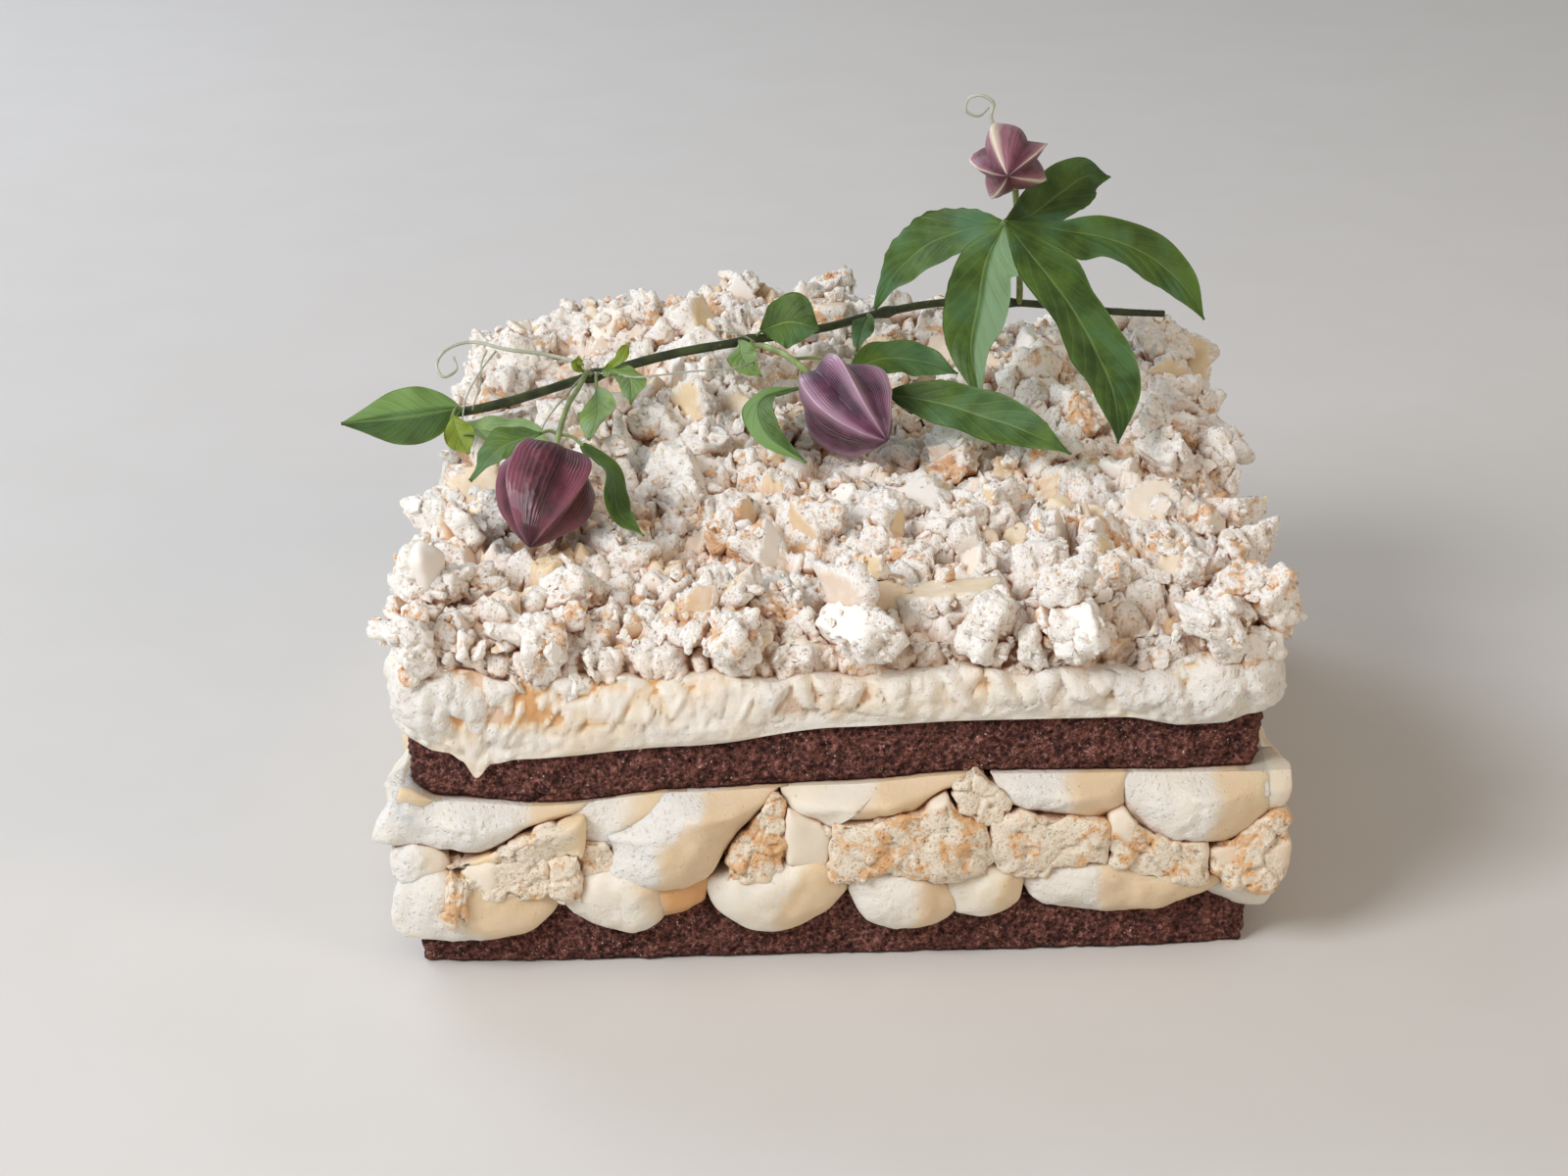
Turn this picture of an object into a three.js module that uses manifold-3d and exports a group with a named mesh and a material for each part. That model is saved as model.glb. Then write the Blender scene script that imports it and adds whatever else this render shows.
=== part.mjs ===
// A chocolate sponge cake in two layers, filled with cream and broken meringue. Crushed meringue is
// heaped on top, and a length of flowering vine lies across it: stem, buds, leaves and tendrils.
//
// Millimetres. +X runs to the right along the front, +Y to the back and +Z up. The origin is the
// middle of the lower sponge's flat underside.

import * as THREE from 'three';
import { mergeVertices } from 'three/addons/utils/BufferGeometryUtils.js';
import Module from 'manifold-3d';

const wasm = await Module();
wasm.setup();

const { clamp, degToRad, lerp, smoothstep } = THREE.MathUtils;

// ---- Driving dimensions ----

const cakeWidth = 200;
const cakeDepth = 212;
const frontSkew = 0.067; // the front stands nearer on the left
const cornerPull = 0.02; // share by which the corners are drawn in
const gap = 0.3; // between pieces that touch
const backY = cakeDepth / 2;

// Edges of the layers along the front, as [x, z].
const lowerSpongeTop = [[-100, 15.2], [-31, 15.4], [2, 17.6], [43, 17.3], [100, 15.4]];
const upperSpongeBottom = [
  [-100, 47.6], [-92, 43.6], [-67, 41.8], [-35, 44.5], [1, 45.6], [30, 47.4], [100, 46.6],
];
const upperSpongeTop = [
  [-100, 61.6], [-92, 58.4], [-75, 55.6], [-35, 58.2], [1, 62], [30, 63], [100, 62.6],
];
const topCreamTop = [[-100, 75], [-70, 71.5], [-10, 71], [60, 71.5], [100, 74]];
const topCreamDrop = [
  [-100, 1.2], [-89, 2.6], [-86, 4], [-83, 7.6], [-79, 3], [-74, 1.7],
  [40, 1.6], [66, 1.4], [80, 3.6], [89, 3.4], [95, 1.6], [100, 1.2],
];
const layerSettling = 0.5; // how much of the front's unevenness is gone at the back
const layerRipple = { height: 0.8, alongX: 0.047, alongY: 0.061 };
const spongeRoughness = 0.7;
const sideLip = { drop: 1.6, wave: 1.4, pitch: 0.9 }; // the top cream's lip on the other sides
const creamProud = 3.4; // how far the top cream stands out at its fullest

// The heap of crushed meringue.
const heap = {
  frontHeight: 86,
  backRise: 8,
  backRiseEnd: 70, // the y at which the rise is done
  hill: { x: -28, y: 90, height: 11, spreadX: 45, spreadY: 60 },
  sideDrop: { front: 4, back: 9 },
  sideDropWidth: 16,
  backDrop: 4,
  backDropWidth: 9,
  coreDepth: 4.2, // the core lies this far under the tops of the pieces
  coreBump: 1.8,
  seed: 41,
};
const heapGrid = { rows: 8, reach: 0.94, jitter: 0.8, size: 7.8, extraSize: 6, sink: 0.42 };
const heapBrim = {
  perSide: 7,
  reach: 0.9,
  jitter: 0.6,
  size: 7.5,
  extraSize: 4,
  inset: 3.5,
  height: 79,
};
const cornerKnobs = [[-95, -99, 90.5, 8.5], [93, -88, 86, 9]]; // as [x, y, z, size]
const knobShare = 0.35; // of the pieces that are rounder knobs
const vineClearance = 1.1; // of a piece's size

// Cream dollops that show at the front, as [left, right, lowest, highest].
const lowerDollops = [
  [-102, -66, 9.7, 29.6], [-65, -38, 11.3, 24.8], [-44, -30, 12.6, 22], [-30, 2, 9.8, 27.7],
  [2, 27, 10.8, 25.7], [25, 43, 14.4, 25.2], [43, 91, 12.2, 28.1],
];
const upperDollops = [
  [-104, -55, 34, 49.5], [-14, 31, 37.2, 50], [35, 66, 37.1, 50], [66, 101, 30.7, 49.6],
];
const swoosh = { along: -32, height: 36.5, length: 50, thickness: 19, angle: degToRad(33) };
const dollopBulge = 5; // how far a dollop stands proud of the sponge
const dollopDepth = 17; // from its front to its flat back
const hiddenRows = { width: 38, extraWidth: 16, unevenness: 2.5, lower: [9.5, 25.8], upper: [36, 51] };
const creamBed = { inset: 9, lowTop: 23, highBottom: 37 }; // the cream behind the dollops
const bedOverlap = 3; // how far a bed reaches into the sponge before it is cut

// Broken meringue that shows between the creams at the front, as [left, right, lowest, highest].
const fillingPieces = [
  [-92, -67, 17, 31], [-98, -60, 28, 39], [-68, -60, 18, 39], [-25, -11, 22, 43], [-13, 0, 26, 41],
  [-1, 36, 21, 37], [26, 41, 35, 48], [35, 64, 22, 39], [60, 88, 21, 38], [86, 104, 17, 37],
];
const fillingReach = 2.5; // how far the filling's pieces stand proud of the sponge
const fillingDepth = 11.4;
const fillingInset = 8; // of the core behind the pieces
const fillingBand = { low: 26.2, middle: 30.5, high: 35.6, jut: 4, inwards: 1.5 }; // on the other sides
const blockSize = 1.5; // a broken block's size before it is scaled
const cornerPulls = { least: 0.72, more: 0.46 };

const colours = {
  sponge: '#5a382f',
  cream: '#efe0c4',
  meringue: '#efe4d2',
  stem: '#39432a',
  leaf: '#4f7338',
  paleLeaf: '#86a265',
  bud: '#7c4a62',
  tendril: '#a9b58a',
};

// ---- Numbers and lines ----

function randomFrom(seed) {
  let state = seed;
  return () => {
    state = (state * 1664525 + 1013904223) % 4294967296;
    return state / 4294967296;
  };
}

function smoothBetween(start, end, value) {
  return smoothstep(value, start, end);
}

// Height of an edge line at x, eased between its points.
function lineAt(line, x) {
  if (x <= line[0][0]) return line[0][1];
  const next = line.findIndex((point) => point[0] >= x);
  if (next < 0) return line[line.length - 1][1];
  const [x0, z0] = line[next - 1];
  const [x1, z1] = line[next];
  return lerp(z0, z1, smoothBetween(x0, x1, x));
}

function frontY(x) {
  return -backY + frontSkew * x;
}

// A layer's edge line settles towards its mean height on the way to the back.
function layerHeight(line, x, y) {
  const back = clamp((y + backY) / cakeDepth, 0, 1);
  const mean = line.reduce((sum, point) => sum + point[1], 0) / line.length;
  const ripple = layerRipple.height * back * Math.sin(x * layerRipple.alongX + y * layerRipple.alongY);
  return lerp(lineAt(line, x), mean, layerSettling * back) + ripple;
}

function heapHeight(x, y) {
  const { hill } = heap;
  const fromSide = Math.min(cakeWidth / 2 - Math.abs(x), y - frontY(x));
  const back = smoothBetween(-backY, 0, y);
  const crown = Math.exp(-(((x - hill.x) / hill.spreadX) ** 2) - ((y - hill.y) / hill.spreadY) ** 2);
  const sideDrop = lerp(heap.sideDrop.front, heap.sideDrop.back, back);
  return heap.frontHeight
    + heap.backRise * smoothBetween(-backY, heap.backRiseEnd, y)
    + hill.height * crown
    - sideDrop * (1 - smoothBetween(0, heap.sideDropWidth, fromSide))
    - heap.backDrop * (1 - smoothBetween(0, heap.backDropWidth, backY - y));
}

// ---- Plan of the cake ----

// A point of the plan from u and v in the square -1 to 1, with the corners drawn in.
function planPoint(u, v, outset) {
  const x = u * (1 - cornerPull * v ** 8) * (cakeWidth / 2 + outset);
  const across = (v * (1 - cornerPull * u ** 8) + 1) / 2;
  return [x, lerp(frontY(x) - outset, backY + outset, across)];
}

// The square's edge, anticlockwise from the front's left corner.
function squareEdge(index, perSide) {
  const along = -1 + (2 * (index % perSide)) / perSide;
  return [[along, -1], [1, along], [-along, 1], [-1, -along]][Math.floor(index / perSide)];
}

function planRing(perSide, scale, outsetAt, heightAt) {
  return Array.from({ length: 4 * perSide }, (_, index) => {
    const [u, v] = squareEdge(index, perSide);
    const [x, y] = planPoint(u * scale, v * scale, outsetAt(index));
    return new THREE.Vector3(x, y, heightAt(x, y, index));
  });
}

// The four sides as seen from outside: local x runs along the side, local y goes inwards.
const halfWidth = cakeWidth / 2;
const middleOf = (x) => [x, (backY + frontY(x)) / 2];
const halfDepthAt = (x) => (backY - frontY(x)) / 2;
const sides = [
  { turn: Math.atan(frontSkew), middle: [0, -backY], half: halfWidth },
  { turn: Math.PI / 2, middle: middleOf(halfWidth), half: halfDepthAt(halfWidth) },
  { turn: Math.PI, middle: [0, backY], half: halfWidth },
  { turn: -Math.PI / 2, middle: middleOf(-halfWidth), half: halfDepthAt(-halfWidth) },
].map((side) => ({
  half: side.half,
  matrix: new THREE.Matrix4().makeRotationZ(side.turn).setPosition(side.middle[0], side.middle[1], 0),
}));

// ---- Solids ----

function positionsOnly(geometry) {
  geometry.deleteAttribute('normal');
  geometry.deleteAttribute('uv');
  return mergeVertices(geometry, 1e-4);
}

function indexedGeometry(positions, indices) {
  const geometry = new THREE.BufferGeometry();
  geometry.setAttribute('position', new THREE.Float32BufferAttribute(positions, 3));
  geometry.setIndex(indices);
  return geometry;
}

function solidOf(geometry) {
  const merged = positionsOnly(geometry);
  return new wasm.Manifold(new wasm.Mesh({
    numProp: 3,
    vertProperties: Float32Array.from(merged.attributes.position.array),
    triVerts: Uint32Array.from(merged.index.array),
  }));
}

function geometryOf(solid) {
  const mesh = solid.getMesh();
  return indexedGeometry(mesh.vertProperties, Array.from(mesh.triVerts));
}

function fused(solids) {
  return solids.reduce((whole, solid) => whole.add(solid));
}

// The largest piece alone, so that scraps and sealed hollows are gone.
function mainPiece(solid) {
  return solid.decompose().reduce((best, piece) => (piece.volume() > best.volume() ? piece : best));
}

// A closed body through rings of equal count, shut at both ends by a fan to a middle point.
function loft(rings, lowMiddle, highMiddle) {
  const count = rings[0].length;
  const points = [...rings.flat(), lowMiddle, highMiddle];
  const low = points.length - 2;
  const high = points.length - 1;
  const last = (rings.length - 1) * count;
  const indices = [];
  for (let k = 0; k < count; k += 1) {
    const next = (k + 1) % count;
    for (let row = 0; row < last; row += count) {
      indices.push(row + k, row + next, row + count + next);
      indices.push(row + k, row + count + next, row + count + k);
    }
    indices.push(low, next, k);
    indices.push(high, last + k, last + next);
  }
  return indexedGeometry(points.flatMap((point) => point.toArray()), indices);
}

function tube(points, radius, sideCount, steps) {
  const corners = Array.from({ length: sideCount }, (_, k) => {
    const angle = (2 * Math.PI * k) / sideCount;
    return new THREE.Vector2(radius * Math.cos(angle), radius * Math.sin(angle));
  });
  const extrudePath = new THREE.CatmullRomCurve3(points.map((point) => new THREE.Vector3(...point)));
  return new THREE.ExtrudeGeometry(new THREE.Shape(corners), { steps, bevelEnabled: false, extrudePath });
}

// ---- Sponges and creams ----

const planSteps = 10; // points along each side of a sponge
const spongeSection = [
  { rise: 0, outset: -2, rough: 0 },
  { rise: 0.2, outset: -0.2, rough: 1 },
  { rise: 0.75, outset: 0.2, rough: 1 },
  { rise: 1, outset: -1.4, rough: 0 },
];

const roomOutset = Math.max(...spongeSection.map((section) => section.outset)) + spongeRoughness + gap;

function spongeLayer(seed, outset, low, high) {
  const random = randomFrom(seed);
  const rough = spongeSection.map(() => (
    Array.from({ length: 4 * planSteps }, () => (2 * random() - 1) * spongeRoughness)
  ));
  return { outset, low, high, rough };
}

function spongeBody({ outset, low, high, rough }) {
  const rings = spongeSection.map((section, row) => planRing(
    planSteps,
    1,
    (index) => outset + section.outset + section.rough * rough[row][index],
    (x, y) => lerp(low(x, y), high(x, y), section.rise),
  ));
  return loft(rings, new THREE.Vector3(0, 0, low(0, 0)), new THREE.Vector3(0, 0, high(0, 0)));
}

// The room that a sponge takes, with a gap all round, which its neighbours are cut by.
function spongeRoom({ outset, low, high }) {
  const level = (section, heightAt, grow) => {
    const edge = planRing(planSteps, 1, () => outset + section.outset, heightAt);
    return planRing(planSteps, 1, () => outset + roomOutset, (x, y, index) => edge[index].z + grow);
  };
  return solidOf(loft(
    [level(spongeSection[0], low, -gap), level(spongeSection.at(-1), high, gap)],
    new THREE.Vector3(0, 0, low(0, 0) - gap),
    new THREE.Vector3(0, 0, high(0, 0) + gap),
  ));
}

// A plain bed between two surfaces, set in from the sides.
function bed(low, high, outset, steps = 2) {
  return loft(
    [planRing(steps, 1, () => outset, low), planRing(steps, 1, () => outset, high)],
    new THREE.Vector3(0, 0, low(0, 0)),
    new THREE.Vector3(0, 0, high(0, 0)),
  );
}

// A dollop on one side: a bun whose dome faces outwards and whose flat back is in the bed of cream.
// Its section is given as [share of its width, share of its depth].
const dollopSection = [[0, 0], [1, 0], [1, 0.62], [0.8, 0.85], [0, 1]];
const dollopSegments = { front: 10, other: 7 };

function dollop(side, [left, right, low, high], angle = 0, grow = 0) {
  const geometry = new THREE.LatheGeometry(
    dollopSection.map((point) => new THREE.Vector2(...point)),
    side === sides[0] ? dollopSegments.front : dollopSegments.other,
  );
  geometry.rotateZ(Math.PI);
  geometry.scale((right - left) / 2 + grow, dollopDepth + grow, (high - low) / 2 + grow);
  geometry.rotateY(-angle);
  geometry.translate((left + right) / 2, dollopDepth - dollopBulge, (low + high) / 2);
  return geometry.applyMatrix4(side.matrix);
}

// Dollops along the sides that the front doesn't show, uneven as a spoon leaves them.
function dollopRow(side, random, [lowest, highest]) {
  const { width, extraWidth, unevenness } = hiddenRows;
  const overhang = 2;
  const overlap = 1.5;
  const row = [];
  let left = -side.half - overhang;
  while (left < side.half - width / 2) {
    const right = Math.min(left + width + extraWidth * random(), side.half + overhang);
    row.push([left, right, lowest + unevenness * random(), highest - unevenness * random()]);
    left = right - overlap;
  }
  return row;
}

function creamBody(rows, swooshes, bedLow, bedHigh) {
  const dollops = rows.flatMap((row, index) => row.map((size) => solidOf(dollop(sides[index], size))));
  return fused([solidOf(bed(bedLow, bedHigh, -creamBed.inset)), ...dollops, ...swooshes]);
}

// The top cream: a thick coat whose lip hangs over the edge of the sponge under it.
const creamSteps = 14;
const underGap = 1; // over the sponge, whose faces are coarser
const creamInner = roomOutset + 0.1;
const creamRidgeDepth = 1.6;
const creamRandom = randomFrom(29);
const creamRidge = Array.from({ length: 4 * creamSteps }, () => creamRidgeDepth * creamRandom());

function topCreamBody(grow = 0) {
  const onFront = (y) => y < frontY(0) + 12;
  const otherLip = (index) => sideLip.drop + sideLip.wave * Math.abs(Math.sin(index * sideLip.pitch));
  const lip = (x, y, index) => (onFront(y) ? lineAt(topCreamDrop, x) : otherLip(index));
  const under = (x, y) => layerHeight(upperSpongeTop, x, y);
  const over = (x, y) => layerHeight(topCreamTop, x, y) + grow;
  const part = (share) => (x, y) => lerp(under(x, y), over(x, y), share);
  const edge = planRing(creamSteps, 1, () => spongeSection.at(-1).outset, under);
  const rings = [
    planRing(creamSteps, 1, () => -6, (x, y, index) => edge[index].z + underGap),
    planRing(creamSteps, 1, () => creamInner, (x, y, index) => edge[index].z + underGap),
    planRing(creamSteps, 1, () => creamInner + 0.6 + grow, (x, y, index) => under(x, y) - lip(x, y, index)),
    planRing(creamSteps, 1, () => creamProud + grow, part(0.35)),
    planRing(creamSteps, 1, (index) => 1 + creamRidge[index] + grow, part(0.8)),
    planRing(creamSteps, 1, () => -2.5 + grow, over),
  ];
  const middle = under(0, 0) + underGap;
  return loft(rings, new THREE.Vector3(0, 0, middle), new THREE.Vector3(0, 0, over(0, 0)));
}

// ---- Meringue ----

// A broken piece with jittered corners: a block, or a rounder knob.
function brokenPiece(random, knob) {
  const block = () => new THREE.BoxGeometry(blockSize, blockSize, blockSize);
  const geometry = positionsOnly(knob ? new THREE.IcosahedronGeometry(1, 0) : block());
  const position = geometry.attributes.position;
  for (let k = 0; k < position.count; k += 1) {
    const pull = cornerPulls.least + cornerPulls.more * random();
    position.setXYZ(k, position.getX(k) * pull, position.getY(k) * pull, position.getZ(k) * pull);
  }
  return geometry;
}

function fillingPiece(side, { size, seed }, grow) {
  const [left, right, low, high] = size;
  const sizes = [right - left, fillingDepth, high - low].map((value) => (value + 2 * grow) / blockSize);
  const geometry = brokenPiece(randomFrom(seed), false);
  geometry.scale(...sizes);
  geometry.translate((left + right) / 2, fillingDepth / 2 - fillingReach, (low + high) / 2);
  return geometry.applyMatrix4(side.matrix);
}

// The filling behind the front's pieces. On the other sides it comes out between the dollops.
function fillingCore(grow) {
  const steps = 7;
  const random = randomFrom(31);
  const jut = Array.from({ length: 12 * steps }, () => fillingBand.jut * random() - fillingBand.inwards);
  const { lowTop, highBottom } = creamBed;
  const inset = grow - fillingInset;
  const inner = (height, out) => planRing(steps, 1, () => inset, () => height + out * (grow - gap));
  const outer = (row, height, out) => planRing(
    steps,
    1,
    (index) => (index <= steps ? inset : jut[4 * steps * row + index] + grow),
    () => height + out * grow,
  );
  const rings = [
    inner(lowTop, -1),
    outer(0, fillingBand.low, -1),
    outer(1, fillingBand.middle, 0),
    outer(2, fillingBand.high, 1),
    inner(highBottom, 1),
  ];
  return loft(
    rings,
    new THREE.Vector3(0, 0, lowTop + gap - grow),
    new THREE.Vector3(0, 0, highBottom - gap + grow),
  );
}

// Where the heap's pieces lie: a jittered grid over the top, and a row round the brim.
function heapPieces() {
  const random = randomFrom(heap.seed);
  const pieces = [];
  const add = (x, y, z, size) => {
    const spin = [random(), random(), random()].map((value) => value * 2 * Math.PI);
    const stretch = [0.85 + 0.45 * random(), 0.7 + 0.3 * random(), 0.5 + 0.35 * random()];
    pieces.push({ x, y, z, size, spin, stretch, knob: random() < knobShare });
  };
  const { rows, reach, jitter } = heapGrid;
  const gridPlace = (index) => reach * (-1 + (2 * (index + 0.5 + jitter * (random() - 0.5))) / rows);
  for (let row = 0; row < rows; row += 1) {
    for (let column = 0; column < rows; column += 1) {
      const u = gridPlace(column);
      const v = gridPlace(row);
      const [x, y] = planPoint(u, v, 0);
      const size = heapGrid.size + heapGrid.extraSize * random() ** 2;
      add(x, y, heapHeight(x, y) - heapGrid.sink * size, size);
    }
  }
  sides.forEach((side) => {
    for (let k = 0; k < heapBrim.perSide; k += 1) {
      const share = (k + heapBrim.jitter * (random() - 0.5)) / (heapBrim.perSide - 1);
      const size = heapBrim.size + heapBrim.extraSize * random();
      const along = side.half * heapBrim.reach * (2 * share - 1);
      const place = new THREE.Vector3(along, heapBrim.inset - 2 * random(), heapBrim.height + 4 * random());
      place.applyMatrix4(side.matrix);
      add(place.x, place.y, place.z, size);
    }
  });
  cornerKnobs.forEach((knob) => add(...knob));
  return pieces;
}

function heapPieceGeometry(piece, random) {
  const geometry = brokenPiece(random, piece.knob);
  geometry.scale(...piece.stretch.map((value) => value * piece.size));
  geometry.rotateX(piece.spin[0]).rotateY(piece.spin[1]).rotateZ(piece.spin[2]);
  return geometry.translate(piece.x, piece.y, piece.z);
}

// The core has bumps as large as the pieces, so that it reads as broken between them.
function heapCore() {
  const steps = 9;
  const random = randomFrom(heap.seed + 2);
  const bottom = (x, y) => layerHeight(topCreamTop, x, y) + gap;
  const surface = (x, y) => Math.max(heapHeight(x, y) - heap.coreDepth, bottom(x, y) + 3);
  const bumpy = (x, y) => surface(x, y) + heap.coreBump * (2 * random() - 1);
  const rings = [
    planRing(steps, 1, () => -7, bottom),
    planRing(steps, 1, () => -2.5, (x, y) => bottom(x, y) + 1),
    planRing(steps, 1, () => 2 * random() - 2, (x, y) => lerp(bottom(x, y) + 1, surface(x, y), 0.6)),
    ...[0.94, 0.8, 0.65, 0.5, 0.35, 0.18].map((scale) => planRing(steps, scale, () => 0, bumpy)),
  ];
  return loft(rings, new THREE.Vector3(0, 0, bottom(0, 0)), new THREE.Vector3(0, 0, surface(0, 0)));
}

// ---- Vine ----

const leafThickness = 0.8;
const plainLeaf = { fold: 0.2, wave: 0.8, steps: 7, columns: 4, widest: 0.45, baseWidth: 0 };

// A thin leaf along a curve of points. face is the way its upper side looks, fold raises both
// halves from the midrib, and wave lifts the rim in and out.
function leaf(shape) {
  const { points, width, face, fold, wave, steps, columns, widest, baseWidth } = { ...plainLeaf, ...shape };
  const path = new THREE.CatmullRomCurve3(points.map((point) => new THREE.Vector3(...point)));
  const towards = new THREE.Vector3(...face).normalize();
  const faces = [[], []];
  for (let row = 0; row <= steps; row += 1) {
    const t = row / steps;
    const centre = path.getPoint(t);
    const along = path.getTangent(t);
    const across = new THREE.Vector3().crossVectors(towards, along).normalize();
    const normal = new THREE.Vector3().crossVectors(along, across);
    const power = Math.log(0.5) / Math.log(widest);
    const share = Math.max(Math.sin(Math.PI * t ** power) ** 0.8, baseWidth * (1 - t / 0.4));
    const half = Math.max(0.4, (width / 2) * share);
    for (let column = 0; column <= columns; column += 1) {
      const s = -1 + (2 * column) / columns;
      const lift = Math.abs(s) * half * Math.sin(fold) + wave * s * Math.abs(s) * Math.sin(9 * t + 1);
      const middle = centre.clone();
      middle.addScaledVector(across, s * half * Math.cos(fold)).addScaledVector(normal, lift);
      const thick = (leafThickness / 2) * (1 - 0.4 * Math.abs(s));
      faces[0].push(middle.clone().addScaledVector(normal, thick));
      faces[1].push(middle.clone().addScaledVector(normal, -thick));
    }
  }
  const wide = columns + 1;
  const under = faces[0].length;
  const indices = [];
  for (let row = 0; row < steps; row += 1) {
    for (let column = 0; column < columns; column += 1) {
      const a = row * wide + column;
      const [b, c, d] = [a + 1, a + wide + 1, a + wide];
      indices.push(a, c, b, a, d, c);
      indices.push(under + a, under + b, under + c, under + a, under + c, under + d);
    }
  }
  const rim = (from, to) => indices.push(from, under + to, under + from, from, to, under + to);
  for (let row = 0; row < steps; row += 1) {
    rim((row + 1) * wide, row * wide);
    rim(row * wide + columns, (row + 1) * wide + columns);
  }
  for (let column = 0; column < columns; column += 1) {
    rim(column, column + 1);
    rim(steps * wide + column + 1, steps * wide + column);
  }
  return indexedGeometry(faces.flat().flatMap((point) => point.toArray()), indices);
}

// A closed bud with five pleats, along +Z from its base to its tip.
const budProfile = [[0, 0.3], [0.12, 0.72], [0.3, 0.96], [0.48, 1], [0.68, 0.82], [0.87, 0.42], [1, 0.07]];
const pleats = 5;
const pleatDepth = 0.24;
function bud(length, radius, twist) {
  const around = pleats * 2;
  const rings = budProfile.map(([rise, share]) => Array.from({ length: around }, (_, k) => {
    const angle = (2 * Math.PI * k) / around + twist * rise;
    const r = radius * share * (k % 2 ? 1 - pleatDepth : 1);
    return new THREE.Vector3(r * Math.cos(angle), r * Math.sin(angle), length * rise);
  }));
  return loft(rings, new THREE.Vector3(0, 0, 0), new THREE.Vector3(0, 0, length));
}

const vine = {
  stem: {
    radius: 1.25,
    points: [
      [-103, 11, 94], [-87, 14, 96.5], [-64, 26.5, 100], [-44, 35.5, 103], [-23.4, 41.5, 105],
      [-4, 51, 105.5], [13, 67, 105], [30, 81, 103.4], [52, 85, 102], [76, 81, 101], [90, 84, 99.5],
    ],
  },
  buds: [
    {
      name: 'bud_left',
      radius: 12.6,
      twist: 0.35,
      roll: 0.3,
      base: [-68, -48, 105.5],
      tip: [-72.8, -72, 90.5],
    },
    {
      name: 'bud_middle',
      radius: 13.2,
      twist: 0.5,
      roll: 0.9,
      base: [-5.5, 3, 106.5],
      tip: [12, -21, 99.5],
    },
    {
      name: 'bud_top',
      radius: 11,
      twist: 0.2,
      roll: 0.4,
      base: [45.5, 58, 151.5],
      tip: [43.6, 38, 151],
    },
  ],
  stalks: [
    {
      name: 'stalk_bud_left',
      radius: 0.7,
      points: [[-65, 24, 102.2], [-66, 2, 105], [-67, -26, 109], [-68, -46.8, 107]],
    },
    {
      name: 'stalk_bud_middle',
      radius: 0.8,
      points: [[-22.5, 38.4, 104.6], [-19.5, 26, 108.5], [-12, 11, 110], [-7, 4.6, 107.6]],
    },
    {
      name: 'stalk_bud_top',
      radius: 0.9,
      points: [[50, 84, 104.6], [49, 80, 124], [47, 71, 142], [45.9, 60.5, 151]],
    },
    {
      name: 'stalk_lobed_leaf',
      radius: 1,
      points: [[42, 81.5, 105], [41.5, 70, 124], [42, 54, 133], [42.8, 44.4, 135.4]],
    },
  ],
  tendrils: [
    {
      name: 'tendril_left',
      radius: 0.5,
      steps: 22,
      points: [
        [-66.5, 28, 102], [-76, 30, 104.5], [-86, 29.5, 106], [-96.5, 32, 107.3], [-102.6, 29.3, 106],
        [-104.6, 24, 103.5], [-102.5, 20.5, 101.5], [-99.4, 23, 102.6], [-100.4, 27, 104.8],
      ],
    },
    {
      name: 'tendril_top',
      radius: 0.5,
      steps: 22,
      points: [
        [47.5, 68, 149], [45.5, 62, 152.5], [42, 59, 157], [39.8, 58, 161.4], [40.3, 58, 165.2],
        [37.2, 57.5, 167.4], [33.8, 57, 166.6], [33.2, 57, 163.4], [36.6, 58, 161.8], [39.2, 59.5, 163.6],
      ],
    },
  ],
};

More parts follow.
